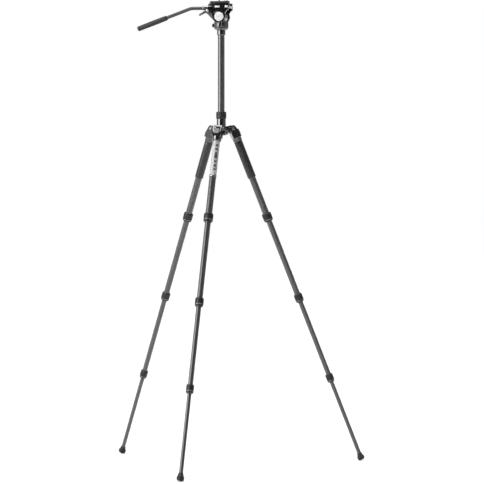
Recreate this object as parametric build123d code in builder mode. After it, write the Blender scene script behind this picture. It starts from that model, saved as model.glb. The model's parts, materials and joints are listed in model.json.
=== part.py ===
from build123d import *
import os
from math import acos, atan2, cos, hypot, radians, sin, sqrt

# Travel tripod with twist-lock carbon legs, a raised centre column and a small pan and tilt head.
# Millimetres, +Z up. The origin is on the floor, in the middle of the box round the whole tripod.
# The head's camera looks along +X, its pan handle points to -X, and one leg points along -Y.

# ---------------------------------------------------------------- driving dimensions
# legs
leg_splay = 22.0  # leg to column at the first angle stop, degrees
leg_azimuths = {"front_leg": -90.0, "right_leg": 30.0, "left_leg": 150.0}
hinge_radius = 41.0  # column axis to a hinge pin
hinge_offset = 4.0  # hinge pin to its leg's axis
first_stage = 356.5  # hinge to the middle of lock 1
middle_stage = 326.0  # lock to lock, for stages 2 and 3
last_stage = 322.0  # lock 3 to the middle of the foot
tube_od = 25.0  # largest leg tube
tube_wall = 1.2
tube_gap = 0.5  # one tube's bore to the next tube's outside, on the radius
tube_insertion = 38.0  # how far a tube's top stands above the middle of its lock
lock_length = 31.0
shim_length = 32.0  # bonded ring round the top of each tube that slides
ferrule_above = 13.0  # ferrule's top over the middle of its lock
ferrule_below = 8.0  # ferrule's bottom under the middle of its lock
tube_below = 4.0  # a tube's lower end under the middle of its lock
lock_wall = 5.0  # lock's outside over its upper tube, on the radius
ferrule_wall = 2.0
grip_start = 53.0  # along the leg, from the hinge
grip_length = 144.0
grip_wall = 3.0
label_wall = 0.3
foot_radius = 13.5
foot_length = 26.0
foot_round = 5.0
foot_neck = 9.5
foot_floor = 8.0  # rubber under the end of the last tube

# shoulder castings, angle tabs and hinge pins
ear_radius = 13.0
ear_thickness = 5.0
socket_wall = 4.0
socket_floor = 30.0  # along the leg, from the hinge
tab_width = 18.0
tab_height = 20.0
tab_start = 8.0
tab_face = 17.5  # leg axis to the tab's outer face
tab_depth = 9.2
tab_slant = 1.5  # how much further out the tab's lower edge stands
tab_grooves = 4
socket_block = 8.0  # solid length over the socket's floor
socket_collar = 6.0  # from the slot's floor to the start of the round collar
bolt_radius = 4.0
bolt_head_radius = 5.5
bolt_head_height = 2.0
bolt_key_radius = 2.5
bolt_key_depth = 1.2

# spider and column
column_od = 25.0
column_wall = 1.4
column_raised = 344.5  # hinge pins to the underside of the column's top mount
column_insertion = 15.0  # hinge pins down to the column's lower end
hub_top_radius = 17.0
hub_bottom_radius = 26.0
hub_above = 8.0  # cone's top over the hinge pins
hub_below = 23.0  # cone's bottom under the hinge pins
neck_height = 27.5
spigot_height = 16.0
bushing_wall = 1.45
column_lock_radius = 18.9
column_lock_height = 26.7
port_radius = 4.7625  # 3/8 inch accessory thread
port_length = 10.0
port_azimuth = -30.0
port_below = 14.0  # port's axis under the hinge pins
port_stand = 3.5  # boss's face past the hub's lower edge
port_insert_wall = 2.2
port_boss_wall = 4.2
arm_root_height = 21.0
arm_root_drop = 2.5  # middle of an arm's root under the hinge pins
angle_stops = (0, 28, 58)  # legs' angles out from the first stop, degrees
stop_lead = 38  # how far a stop's notch stands ahead of its leg, degrees
stop_notch_radius = 1.2
flange_thickness = 2.0  # bushing's flange under the hub
flange_width = 4.0
plug_cap = 2.0
plug_depth = 12.0
stud_radius = 4.7625  # 3/8 inch stud between the column and the head
stud_length = 9.0
mount_socket = 12.0  # how far the column goes into its top mount

# head, heights over the underside of the column's top mount
mount_height = 19.0
mount_radius = 15.5
base_cone_height = 6.5
base_height = 9.0
base_radius = 27.0
base_foot_radius = 20.0
spindle_radius = 10.0  # head turns on this
spindle_height = 12.0
pan_gap = 0.9  # between the base and the housing
pan_disc_height = 0.5
tilt_disc_height = 0.6
tilt_disc_margin = 3.0  # drum's edge past each tilt disc
drum_gap = 1.0  # between the drum's end and a cheek
pan_knob_radius = 7.0
pan_knob_length = 6.6
pan_knob_drop = 2.0  # knob's axis under the housing's middle
pan_screw_radius = 2.5
pan_screw_length = 7.0
neck_depth = 34.0  # along X
neck_width = 40.0  # along Y
shaft_radius = 6.0  # cradle tilts on this
shaft_stand = 7.0  # shaft's end outside the far cheek
tilt_knob_radius = 17.0
tilt_knob_length = 12.6
housing_top = 50.0
tilt_height = 68.5
drum_radius = 22.0
cheek_radius = 25.0
cheek_inside = 27.4
cheek_thickness = 7.0
cover_radius = 17.0
cover_depth = 2.0  # recess for the cover
cover_thickness = 3.0
wing_height = 79.0  # rear end of the cheeks' lower edge
beak_root = 9.5  # beak's lower end over the tilt axis
beak_height = 5.0  # beak's tip under the deck
beak_nose = 0.6
beak_hollow = 2.2  # how far the beak's edge curves in
deck_bottom = 99.0
deck_top = 108.0
deck_rear = -45.0
deck_front = 35.0
deck_nose = 1.2  # rounded edge in front of the deck
rail_slant = 7.0  # sloping rear end of the rails
rail_top = 118.4
channel_floor = 110.0
channel_half_width = 19.4
channel_slope = 2.6  # how far each side of the channel leans in
rail_half_width = 27.0
plate_knob_x = -5.0
plate_knob_height = 114.0
plate_knob_radius = 8.0
plate_knob_length = 10.0
plate_screw_radius = 3.0
plate_boss_wall = 2.5
plate_rear = -39.0
plate_front = 28.0
plate_half_width = 22.0
plate_top = 124.0
pad_height = 2.0
screw_radius = 3.175  # 1/4 inch camera screw
screw_stand = 5.5
screw_x = -8.0
pin_x = 13.0
screw_neck_radius = 2.6
stud_step = 0.1  # shoulder of the screw's thread and of the pin, under the pad's face
screw_recess_radius = 10.0
screw_recess_depth = 4.0
screw_head_radius = 9.0
screw_head_height = 2.8
screw_head_rise = 0.7  # head's underside over the plate's
screw_slot_width = 1.6
screw_slot_depth = 1.2
video_pin_radius = 2.0
pin_seat_radius = 2.5
pin_seat_depth = 5.0
lip_width = 3.0  # raised lip at the pad's front end
lip_height = 2.2
video_pin_stand = 4.5

# pan handle
rosette_x = -38.0
rosette_height = 89.0
rosette_radius = 11.0
rosette_stand = 2.6
eye_width = 10.6
eye_bolt_radius = 4.0
eye_bolt_depth = 3.5  # bolt's end inside the cheek
bolt_cap_radius = 5.2
bolt_cap_height = 2.4
bar_radius = 6.3
bar_wall = 1.6
socket_length = 20.0  # sleeve behind the rosette
bar_end_gap = 1.5  # bar's end behind the eye
sleeve_wall = 1.9
bar_height = 98.5
bar_bend_x = -104.0
bar_bend_radius = 45.0
bar_slope = 19.5  # degrees below level
grip_from_bend = 98.0
lever_length = 33.0
lever_drop = 28.0  # degrees below level
lever_thickness = 4.0
lever_hub_radius = 6.4
lever_root_radius = 5.0
lever_tip_radius = 3.4
handle_grip_length = 118.0
handle_grip_wall = 3.7

# clearances
running = 0.05  # turning and sliding fits, on the radius
bond = 0.02  # extra on a shim that slides on its whole length
face_gap = 0.4  # between the faces of a knob or an eye and what it turns against
clear = 0.3  # between pieces that pass each other

# ---------------------------------------------------------------- sizes that follow
splay = radians(leg_splay)
foot_middle = first_stage + 2 * middle_stage + last_stage
foot_end = foot_middle + foot_length / 2
round_station = foot_end - foot_round
round_radius = foot_radius - foot_round
# the rounded lower edge of each foot touches the floor
pin_height = (
    round_station * cos(splay)
    + round_radius * sin(splay)
    + foot_round
    - hinge_offset * sin(splay)
)
# how far the feet reach from the column, towards -Y and towards +Y
top_reach = hinge_radius + hinge_offset * cos(splay)
front_reach = top_reach + round_station * sin(splay) + round_radius * cos(splay) + foot_round
back_reach = (
    top_reach / 2
    + round_station * sin(splay) / 2
    + round_radius * sqrt(1 - (sin(splay) / 2) ** 2)
    + foot_round
)
column_y = (front_reach - back_reach) / 2

tube_step = tube_wall + tube_gap
tube_radii = [tube_od / 2 - i * tube_step for i in range(4)]
lock_middles = [first_stage, first_stage + middle_stage, first_stage + 2 * middle_stage]
socket_radius = tube_od / 2 + socket_wall
slot_width = 2 * (socket_radius + 0.5) - 2 * ear_thickness
shoulder_width = slot_width + 2 * ear_thickness
arm_width = slot_width - 2 * clear
barrel_radius = ear_radius - 1.0
slot_floor = barrel_radius + 2.0

mount_base = pin_height + column_raised
spigot_base = pin_height + hub_above + neck_height
spigot_top = spigot_base + spigot_height
column_lock_top = spigot_base + clear + column_lock_height
bushing_radius = column_od / 2 + running + bushing_wall
spigot_radius = bushing_radius + 1.2
base_bottom = mount_height
base_top = mount_height + base_height
housing_bottom = base_top + pan_gap
drum_half_width = cheek_inside - drum_gap
tilt_disc_radius = drum_radius - tilt_disc_margin
cheek_outside = cheek_inside + cheek_thickness
pad_top = plate_top + pad_height
eye_inner_y = cheek_outside + rosette_stand + face_gap
eye_outer_y = eye_inner_y + eye_width
sleeve_radius = bar_radius + sleeve_wall
bar_y = cheek_outside + 2 * face_gap + sleeve_radius

os.makedirs("parts", exist_ok=True)


def save(piece, name):
    piece.label = name
    export_step(piece, f"parts/{name}.step")


def group(*pieces):
    """Separate solids that share one node."""
    return Compound(children=list(pieces))


def level(height):
    """A level plane on the column's axis."""
    return Plane(origin=(0, column_y, height))


def head_side(y):
    """An upright plane facing -Y, whose second direction is height over the column's top mount."""
    return Plane(origin=(0, column_y + y, mount_base), x_dir=(1, 0, 0), z_dir=(0, -1, 0))


def head_level(height):
    return level(mount_base + height)


def tilt_side(y):
    """As head_side, but centred on the tilt axis."""
    return Plane(origin=(0, column_y + y, mount_base + tilt_height), x_dir=(1, 0, 0), z_dir=(0, -1, 0))


def rosette_side(y):
    """As head_side, but centred on the handle's rosette."""
    return Plane(
        origin=(rosette_x, column_y + y, mount_base + rosette_height),
        x_dir=(1, 0, 0),
        z_dir=(0, -1, 0),
    )


def plate_knob_side(y):
    """As head_side, but centred on the plate lock's screw."""
    return Plane(
        origin=(plate_knob_x, column_y + y, mount_base + plate_knob_height),
        x_dir=(1, 0, 0),
        z_dir=(0, -1, 0),
    )


column_profile = Plane(origin=(0, column_y, 0), x_dir=(1, 0, 0), z_dir=(0, -1, 0))
column_axis = Axis((0, column_y, 0), (0, 0, 1))


def ring(plane, outer, inner, length):
    """A plain round sleeve."""
    with BuildPart() as sleeve:
        with BuildSketch(plane):
            Circle(outer)
            if inner:
                Circle(inner, mode=Mode.SUBTRACT)
        extrude(amount=length)
    return sleeve.part


def turned(plane, axis, points):
    """A piece turned on a lathe from a straight-sided outline."""
    with BuildPart() as piece:
        with BuildSketch(plane):
            with BuildLine():
                Polyline(*points, close=True)
            make_face()
        revolve(axis=axis)
    return piece.part


class Leg:
    """One leg's own directions. Stations are measured down the leg's axis from the hinge."""

    def __init__(self, azimuth):
        out = Vector(cos(radians(azimuth)), sin(radians(azimuth)), 0)
        up = Vector(0, 0, 1)
        self.out = out
        self.across = Vector(-out.Y, out.X, 0)
        self.down = out * sin(splay) - up * cos(splay)
        self.outboard = out * cos(splay) + up * sin(splay)
        self.pin = Vector(0, column_y, pin_height) + out * hinge_radius
        self.top = self.pin + self.outboard * hinge_offset
        self.axis = Axis(self.top, self.down)
        self.pin_axis = Axis(self.pin, self.across)
        self.side = self.profile(0)
        self.arm_side = Plane(origin=self.pin - self.out * hinge_radius, x_dir=out, z_dir=-self.across)

    def profile(self, offset):
        """Plane through the leg's axis, moved sideways: x is outboard and y is the station."""
        return Plane(origin=self.top + self.across * offset, x_dir=self.outboard, z_dir=self.across)

    def square(self, station):
        """Plane square to the tube at a station."""
        return Plane(origin=self.top + self.down * station, x_dir=self.outboard, z_dir=self.down)

    def beside(self, offset):
        """Plane square to the hinge pin, at a distance along it, centred on it."""
        return Plane(origin=self.pin + self.across * offset, x_dir=self.outboard, z_dir=self.across)


legs = {name: Leg(azimuth) for name, azimuth in leg_azimuths.items()}

# ---------------------------------------------------------------- legs


def make_shoulder(leg):
    """Fork over the spider's arm, with a pocket for the angle tab and a socket for the top tube."""
    block_end = socket_floor + socket_block
    pocket_height = tab_start + tab_height + clear
    with BuildPart() as shoulder:
        with BuildSketch(leg.profile(-shoulder_width / 2)):
            with Locations((-hinge_offset, 0)):
                Circle(ear_radius)
            with Locations((0, block_end - socket_block)):
                Rectangle(2 * socket_radius, 2 * socket_block)
            make_hull()
        extrude(amount=shoulder_width)
        sides = shoulder.faces().sort_by(leg.pin_axis)
        fillet(sides[0].edges() + sides[-1].edges(), 2.0)
        with BuildSketch(leg.square(slot_floor + socket_collar)):
            Circle(socket_radius)
        extrude(amount=grip_start - slot_floor - socket_collar)
        chamfer(shoulder.faces().sort_by(leg.axis)[-1].edges(), 1.0)
        # slot for the spider's arm
        with BuildSketch(leg.profile(-slot_width / 2)):
            with Locations((0, slot_floor - 2 * ear_radius)):
                Rectangle(4 * ear_radius, 4 * ear_radius)
        extrude(amount=slot_width, mode=Mode.SUBTRACT)
        # pocket for the angle tab, open to the outside
        with BuildSketch(leg.profile(-tab_width / 2 - clear)):
            with Locations((tab_face * 1.5 - tab_depth - clear, pocket_height / 2)):
                Rectangle(tab_face, pocket_height)
        extrude(amount=tab_width + 2 * clear, mode=Mode.SUBTRACT)
        # socket for the tube and bores for the hinge bolt
        with BuildSketch(leg.square(socket_floor)):
            Circle(tube_radii[0])
        extrude(amount=grip_start, mode=Mode.SUBTRACT)
        with BuildSketch(leg.beside(-shoulder_width)):
            Circle(bolt_radius + running)
        extrude(amount=2 * shoulder_width, mode=Mode.SUBTRACT)
    return shoulder.part


def make_tab(leg):
    """Pull-out block that sets the leg's angle, with grooves across its face for a thumb."""
    inner = tab_face - tab_depth
    with BuildPart() as tab:
        with BuildSketch(leg.profile(-tab_width / 2)):
            with BuildLine():
                Polyline(
                    (inner, tab_start),
                    (tab_face, tab_start),
                    (tab_face + tab_slant, tab_start + tab_height),
                    (inner, tab_start + tab_height),
                    close=True,
                )
            make_face()
        extrude(amount=tab_width)
        fillet(tab.edges().filter_by(leg.pin_axis).sort_by(Axis(leg.top, leg.outboard))[-2:], 1.2)
        for i in range(tab_grooves):
            share = (i + 1) / (tab_grooves + 1)
            with BuildSketch(leg.profile(-tab_width / 2 + 2)):
                with Locations((tab_face + tab_slant * share, tab_start + tab_height * share)):
                    Circle(0.8)
            extrude(amount=tab_width - 4, mode=Mode.SUBTRACT)
    return tab.part


def make_tube(leg, stage):
    """One carbon tube, with the shim bonded to its top and the ferrule bonded to its lower end."""
    outer = tube_radii[stage]
    start = socket_floor + 1.0
    end = foot_end - foot_floor
    if stage:
        start = lock_middles[stage - 1] - tube_insertion
    if stage < 3:
        end = lock_middles[stage] + tube_below
    solids = [ring(leg.square(start), outer, outer - tube_wall, end - start)]
    if stage:
        bore = outer + tube_gap
        solids.append(ring(leg.square(start), bore - running - bond, outer, shim_length))
    if stage < 3:
        middle = lock_middles[stage]
        lip = outer - tube_step + clear
        points = [
            (outer, middle - ferrule_above),
            (outer + ferrule_wall, middle - ferrule_above),
            (outer + ferrule_wall, middle + ferrule_below),
            (lip, middle + ferrule_below),
            (lip, end),
            (outer, end),
        ]
        solids.append(turned(leg.side, leg.axis, points))
    return group(*solids)


def make_lock(leg, index):
    """Twist-lock collar: turns on the upper tube's ferrule and closes on the lower tube."""
    upper = tube_radii[index]
    outer = upper + lock_wall
    middle = lock_middles[index]
    top = middle - lock_length / 2
    bottom = middle + lock_length / 2
    bore = upper + ferrule_wall + running
    lower_bore = tube_radii[index + 1] + clear
    points = [
        (bore, top),
        (outer - 1.0, top),
        (outer, top + 2.5),
        (outer, bottom - 6),
        (outer - 1.6, bottom - 1.2),
        (outer - 2.6, bottom),
        (lower_bore, bottom),
        (lower_bore, middle + ferrule_below + clear),
        (bore, middle + ferrule_below + clear),
    ]
    return turned(leg.side, leg.axis, points)


def make_foot(leg):
    """Rubber foot: a bell that rounds off under the leg, with the last tube bonded into it."""
    top = foot_end - foot_length
    tube = tube_radii[3]
    with BuildPart() as foot:
        with BuildSketch(leg.side):
            with BuildLine():
                Polyline(
                    (0, foot_end),
                    (round_radius, foot_end),
                )
                RadiusArc((round_radius, foot_end), (foot_radius, round_station), foot_round)
                Polyline((foot_radius, round_station), (foot_radius, round_station - 5))
                Spline(
                    (foot_radius, round_station - 5),
                    (foot_neck, top + 5),
                    tangents=((0, -1), (0, -1)),
                )
                Polyline(
                    (foot_neck, top + 5),
                    (foot_neck, top + 1),
                    (foot_neck - 1, top),
                    (tube, top),
                    (tube, foot_end - foot_floor),
                    (0, foot_end - foot_floor),
                    (0, foot_end),
                )
            make_face()
        revolve(axis=leg.axis)
    return foot.part


for name, leg in legs.items():
    save(make_shoulder(leg), f"{name}_shoulder")
    save(make_tab(leg), f"{name}_angle_tab")
    for stage in range(4):
        save(make_tube(leg, stage), f"{name}_tube_{stage + 1}")
    for index in range(3):
        save(make_lock(leg, index), f"{name}_lock_{index + 1}")
    save(make_foot(leg), f"{name}_foot")
    if name == "front_leg":
        label = ring(leg.square(grip_start), tube_radii[0] + label_wall, tube_radii[0], grip_length)
        save(label, f"{name}_label_band")
    else:
        grip = ring(leg.square(grip_start), tube_radii[0] + grip_wall, tube_radii[0], grip_length)
        save(grip, f"{name}_foam_grip")

# ---------------------------------------------------------------- spider and column


def make_bolt(leg):
    """Hinge bolt with a round head outside each ear."""
    half = shoulder_width / 2 + clear
    with BuildPart() as bolt:
        with BuildSketch(leg.beside(-half)):
            Circle(bolt_radius)
        extrude(amount=2 * half)
        for side in (-1, 1):
            with BuildSketch(leg.beside(side * half)):
                Circle(bolt_head_radius)
            extrude(amount=side * bolt_head_height)
            end = bolt.faces().sort_by(leg.pin_axis)[-1 if side > 0 else 0]
            chamfer(end.edges(), 0.6)
            with BuildSketch(leg.beside(side * (half + bolt_head_height))):
                RegularPolygon(bolt_key_radius, 6)
            extrude(amount=-side * bolt_key_depth, mode=Mode.SUBTRACT)
    return bolt.part


def make_spider():
    """Cone hub with three arms for the legs, and a neck that carries the column's lock."""
    port_out = Vector(cos(radians(port_azimuth)), sin(radians(port_azimuth)), 0)
    port_centre = Vector(0, column_y, pin_height - port_below)
    port_end = hub_bottom_radius + port_stand
    port_wall_radius = port_radius + port_boss_wall
    with BuildPart() as spider:
        with BuildSketch(column_profile):
            with BuildLine():
                Polyline(
                    (bushing_radius, pin_height - hub_below),
                    (hub_bottom_radius - 1, pin_height - hub_below),
                    (hub_bottom_radius, pin_height - hub_below + 1),
                    (hub_bottom_radius - 0.6, pin_height - hub_below + 4),
                    (hub_top_radius, pin_height + hub_above),
                    (hub_top_radius - 0.4, spigot_base),
                    (spigot_radius, spigot_base),
                    (spigot_radius, spigot_top),
                    (bushing_radius, spigot_top),
                    close=True,
                )
            make_face()
        revolve(axis=column_axis)
        for leg in legs.values():
            with BuildSketch(leg.arm_side.offset(-arm_width / 2)):
                with Locations((hinge_radius, 0)):
                    Circle(barrel_radius)
                with Locations((bushing_radius + 3, -arm_root_drop)):
                    Rectangle(4, arm_root_height)
                make_hull()
            extrude(amount=arm_width)
        # boss for the accessory thread
        with BuildSketch(Plane(origin=port_centre + port_out * (bushing_radius + 1), z_dir=port_out)):
            Circle(port_wall_radius)
        extrude(amount=port_end - bushing_radius - 1)
        with BuildSketch(Plane(origin=port_centre + port_out * (port_end - port_length), z_dir=port_out)):
            Circle(port_radius + port_insert_wall)
        extrude(amount=port_length + 1, mode=Mode.SUBTRACT)
        # angle stops across each arm's barrel, hinge bores and the column's bore
        for leg in legs.values():
            for stop in angle_stops:
                angle = radians(leg_splay - 90 + stop + stop_lead)
                with BuildSketch(leg.arm_side.offset(-arm_width / 2 - 1)):
                    with Locations((
                        hinge_radius + barrel_radius * cos(angle),
                        barrel_radius * sin(angle),
                    )):
                        Circle(stop_notch_radius)
                extrude(amount=arm_width + 2, mode=Mode.SUBTRACT)
            with BuildSketch(leg.beside(-shoulder_width)):
                Circle(bolt_radius)
            extrude(amount=2 * shoulder_width, mode=Mode.SUBTRACT)
        with BuildSketch(level(pin_height - 2 * hub_below)):
            Circle(bushing_radius)
        extrude(amount=spigot_top - pin_height + 3 * hub_below, mode=Mode.SUBTRACT)
    insert_plane = Plane(origin=port_centre + port_out * (port_end - port_length), z_dir=port_out)
    insert = ring(insert_plane, port_radius + port_insert_wall, port_radius, port_length)
    return spider.part, insert


spider, port_insert = make_spider()
save(spider, "spider")
save(port_insert, "accessory_port_insert")
save(group(*[make_bolt(leg) for leg in legs.values()]), "leg_hinge_bolts")

flange_bottom = pin_height - hub_below - flange_thickness
bushing_bore = column_od / 2 + running
bushing_points = [
    (bushing_bore, flange_bottom),
    (bushing_radius + flange_width, flange_bottom),
    (bushing_radius + flange_width, flange_bottom + flange_thickness),
    (bushing_radius, flange_bottom + flange_thickness),
    (bushing_radius, spigot_top),
    (bushing_bore, spigot_top),
]
save(turned(column_profile, column_axis, bushing_points), "column_bushing")

lock_bottom = spigot_base + clear
lock_points = [
    (spigot_radius + running, lock_bottom),
    (column_lock_radius - 1.2, lock_bottom),
    (column_lock_radius, lock_bottom + 2.2),
    (column_lock_radius, column_lock_top - 3),
    (column_lock_radius - 1.8, column_lock_top),
    (column_od / 2 + clear, column_lock_top),
    (column_od / 2 + clear, spigot_top + clear),
    (spigot_radius + running, spigot_top + clear),
]
save(turned(column_profile, column_axis, lock_points), "column_lock_ring")

column_bottom = pin_height - column_insertion
column_top = mount_base + mount_socket
column_bore = column_od / 2 - column_wall
column_tube = ring(level(column_bottom), column_od / 2, column_bore, column_top - column_bottom)
save(column_tube, "column_tube")
plug_points = [
    (0, column_bottom - plug_cap),
    (column_od / 2 - 1, column_bottom - plug_cap),
    (column_od / 2, column_bottom - plug_cap + 1),
    (column_od / 2, column_bottom),
    (column_bore, column_bottom),
    (column_bore, column_bottom + plug_depth),
    (0, column_bottom + plug_depth),
]
save(turned(column_profile, column_axis, plug_points), "column_end_plug")

mount_points = [
    (column_od / 2, mount_base),
    (mount_radius - 1.8, mount_base),
    (mount_radius, mount_base + 2.6),
    (mount_radius, mount_base + mount_height - 0.8),
    (mount_radius - 0.8, mount_base + mount_height),
    (stud_radius, mount_base + mount_height),
    (stud_radius, mount_base + mount_height + stud_length),
    (0, mount_base + mount_height + stud_length),
    (0, column_top),
    (column_od / 2, column_top),
]
save(turned(column_profile, column_axis, mount_points), "column_top_mount")

# ---------------------------------------------------------------- head

spindle_top = base_top + spindle_height
base_points = [
    (stud_radius, mount_base + base_bottom),
    (base_foot_radius, mount_base + base_bottom),
    (base_radius, mount_base + base_bottom + base_cone_height),
    (base_radius, mount_base + base_top),
    (spindle_radius, mount_base + base_top),
    (spindle_radius, mount_base + spindle_top),
    (0, mount_base + spindle_top),
    (0, mount_base + mount_height + stud_length),
    (stud_radius, mount_base + mount_height + stud_length),
]
save(turned(column_profile, column_axis, base_points), "head_base")

knob_height = (housing_bottom + housing_top) / 2 - pan_knob_drop
with BuildPart() as pan_housing:
    with BuildSketch(head_level(housing_bottom)):
        Circle(base_radius)
    extrude(amount=housing_top - housing_bottom)
    fillet(pan_housing.edges().group_by(Axis.Z)[-1], 1.5)
    chamfer(pan_housing.edges().group_by(Axis.Z)[0], 0.8)
    # neck and drum that carry the tilting cradle
    with BuildSketch(head_level(housing_top - 1)):
        Rectangle(neck_depth, neck_width)
    extrude(amount=tilt_height - housing_top + 1)
    with BuildSketch(tilt_side(drum_half_width)):
        Circle(drum_radius)
    extrude(amount=2 * drum_half_width)
    # room for the tilt discs where they reach down past the housing's top
    for side in (-1, 1):
        with BuildSketch(tilt_side(side * drum_half_width)):
            Circle(tilt_disc_radius + clear)
        extrude(amount=-side * (tilt_disc_height + drum_gap), mode=Mode.SUBTRACT)
    with BuildSketch(tilt_side(drum_half_width + 1)):
        Circle(shaft_radius)
    extrude(amount=2 * drum_half_width + 2, mode=Mode.SUBTRACT)
    with BuildSketch(head_level(housing_bottom - 1)):
        Circle(spindle_radius + running)
    extrude(amount=spindle_top + clear - housing_bottom + 1, mode=Mode.SUBTRACT)
    # hole for the pan lock's screw
    with BuildSketch(Plane(origin=(-base_radius - 1, column_y, mount_base + knob_height), z_dir=(1, 0, 0))):
        Circle(pan_screw_radius + running)
    extrude(amount=pan_screw_length + 2, mode=Mode.SUBTRACT)
save(pan_housing.part, "pan_housing")

pan_disc = ring(
    head_level(housing_bottom - pan_disc_height), base_radius - 2, spindle_radius + 1, pan_disc_height
)
tilt_discs = [
    ring(tilt_side(side * drum_half_width), tilt_disc_radius, shaft_radius + 1, -side * tilt_disc_height)
    for side in (-1, 1)
]
save(group(pan_disc, *tilt_discs), "friction_discs")

with BuildPart() as pan_knob:
    knob_start = (-base_radius - face_gap, column_y, mount_base + knob_height)
    knob_plane = Plane(origin=knob_start, z_dir=(-1, 0, 0))
    with BuildSketch(knob_plane):
        Circle(pan_knob_radius)
    extrude(amount=pan_knob_length)
    fillet(pan_knob.faces().sort_by(Axis.X)[0].edges(), 1.5)
    with BuildSketch(knob_plane):
        Circle(pan_screw_radius)
    extrude(amount=-pan_screw_length)
save(pan_knob.part, "pan_lock_knob")

shaft_far = cheek_outside + shaft_stand
shaft_near = cheek_outside - cover_depth - 2 * clear
tilt_shaft = ring(tilt_side(shaft_far), shaft_radius, 0, shaft_far + shaft_near)
save(tilt_shaft, "tilt_shaft")

# where the wings' lower edge touches the round boss, and the beak's hollow edge
wing_rise = wing_height - tilt_height
wing_angle = atan2(wing_rise, deck_rear) + acos(cheek_radius / hypot(deck_rear, wing_rise))
wing_tangent = (cheek_radius * cos(wing_angle), tilt_height + cheek_radius * sin(wing_angle))
beak_low = Vector(sqrt(cheek_radius**2 - beak_root**2), tilt_height + beak_root)
beak_tip = Vector(deck_front + beak_nose, deck_bottom - beak_height)
beak_chord = (beak_low - beak_tip).normalized()
beak_middle = (beak_low + beak_tip) * 0.5 + Vector(beak_chord.Y, -beak_chord.X) * beak_hollow
with BuildPart() as cradle:
    # two cheeks: a round boss, a wing up to the rear, and a beak under the deck's front end
    for start in (cheek_outside, -cheek_inside):
        with BuildSketch(head_side(start)):
            with Locations((0, tilt_height)):
                Circle(cheek_radius)
            with BuildLine():
                Polyline(
                    (beak_low.X, beak_low.Y),
                    (0, tilt_height),
                    wing_tangent,
                    (deck_rear, wing_height),
                    (deck_rear, deck_bottom + 1),
                    (deck_front, deck_bottom + 1),
                    (beak_tip.X, beak_tip.Y),
                )
                ThreePointArc(beak_tip, beak_middle, beak_low)
            make_face()
        extrude(amount=cheek_thickness)
    for face in (cradle.faces().sort_by(Axis.Y)[0], cradle.faces().sort_by(Axis.Y)[-1]):
        chamfer(face.edges(), 1.0)
    # deck, and the two rails of the plate's channel
    with BuildSketch(head_side(cheek_outside)):
        with BuildLine():
            Polyline(
                (deck_rear, deck_bottom),
                (deck_front, deck_bottom),
                (deck_front + deck_nose, deck_bottom + 2),
                (deck_front + deck_nose, deck_top),
                (deck_rear, deck_top),
                close=True,
            )
        make_face()
    extrude(amount=2 * cheek_outside)
    with BuildSketch(head_side(rail_half_width)):
        with BuildLine():
            Polyline(
                (deck_rear - 1, deck_top - 1),
                (deck_front + deck_nose, deck_top - 1),
                (deck_front + deck_nose, rail_top),
                (deck_rear - 1 + rail_slant, rail_top),
                (deck_rear - 1, rail_top - rail_slant),
                close=True,
            )
        make_face()
    extrude(amount=2 * rail_half_width)
    with BuildSketch(Plane(origin=(deck_rear - 5, column_y, mount_base), x_dir=(0, 1, 0), z_dir=(1, 0, 0))):
        with BuildLine():
            Polyline(
                (-channel_half_width, channel_floor),
                (channel_half_width, channel_floor),
                (channel_half_width - channel_slope, rail_top + 0.1),
                (-channel_half_width + channel_slope, rail_top + 0.1),
                close=True,
            )
        make_face()
    extrude(amount=deck_front - deck_rear + 12, mode=Mode.SUBTRACT)
    # boss for the plate lock, on the far rail
    with BuildSketch(plate_knob_side(cheek_outside)):
        Circle(plate_screw_radius + plate_boss_wall)
    extrude(amount=cheek_outside - rail_half_width + 1)
    # rosette boss for the handle, on the near cheek
    with BuildSketch(rosette_side(-cheek_outside)):
        Circle(rosette_radius)
    extrude(amount=rosette_stand)
    with BuildSketch(rosette_side(-cheek_inside)):
        Circle(rosette_radius - 2)
    extrude(amount=cheek_thickness)
    with BuildSketch(rosette_side(-cheek_outside + eye_bolt_depth + clear)):
        Circle(eye_bolt_radius + running)
    extrude(amount=20, mode=Mode.SUBTRACT)
    # shaft bores, the cover's recess, and the plate lock's hole
    with BuildSketch(tilt_side(2 * cheek_outside)):
        Circle(shaft_radius + running)
    extrude(amount=4 * cheek_outside, mode=Mode.SUBTRACT)
    with BuildSketch(tilt_side(-cheek_outside + cover_depth)):
        Circle(cover_radius)
    extrude(amount=20, mode=Mode.SUBTRACT)
    with BuildSketch(plate_knob_side(cheek_outside + 1)):
        Circle(plate_screw_radius + running)
    extrude(amount=cheek_outside + 1 - channel_half_width + channel_slope + 2, mode=Mode.SUBTRACT)
save(cradle.part, "tilt_cradle")

with BuildPart() as cover:
    with BuildSketch(tilt_side(-cheek_outside + cover_depth)):
        Circle(cover_radius)
    extrude(amount=cover_thickness)
    fillet(cover.faces().sort_by(Axis.Y)[0].edges(), 0.8)
save(cover.part, "tilt_cover_disc")

with BuildPart() as tilt_knob:
    with BuildSketch(tilt_side(cheek_outside + face_gap + tilt_knob_length)):
        Circle(tilt_knob_radius)
    extrude(amount=tilt_knob_length)
    fillet(tilt_knob.faces().sort_by(Axis.Y)[-1].edges(), 2)
    with BuildSketch(tilt_side(shaft_far + clear)):
        Circle(shaft_radius + running)
    extrude(amount=20, mode=Mode.SUBTRACT)
save(tilt_knob.part, "tilt_lock_knob")

with BuildPart() as plate_knob:
    with BuildSketch(plate_knob_side(cheek_outside + face_gap + plate_knob_length)):
        Circle(plate_knob_radius)
    extrude(amount=plate_knob_length)
    fillet(plate_knob.faces().sort_by(Axis.Y)[-1].edges(), 1.5)
    with BuildSketch(plate_knob_side(cheek_outside + 1)):
        Circle(plate_screw_radius)
    extrude(amount=cheek_outside + 1 - channel_half_width - 0.2)
save(plate_knob.part, "plate_lock_knob")

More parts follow.
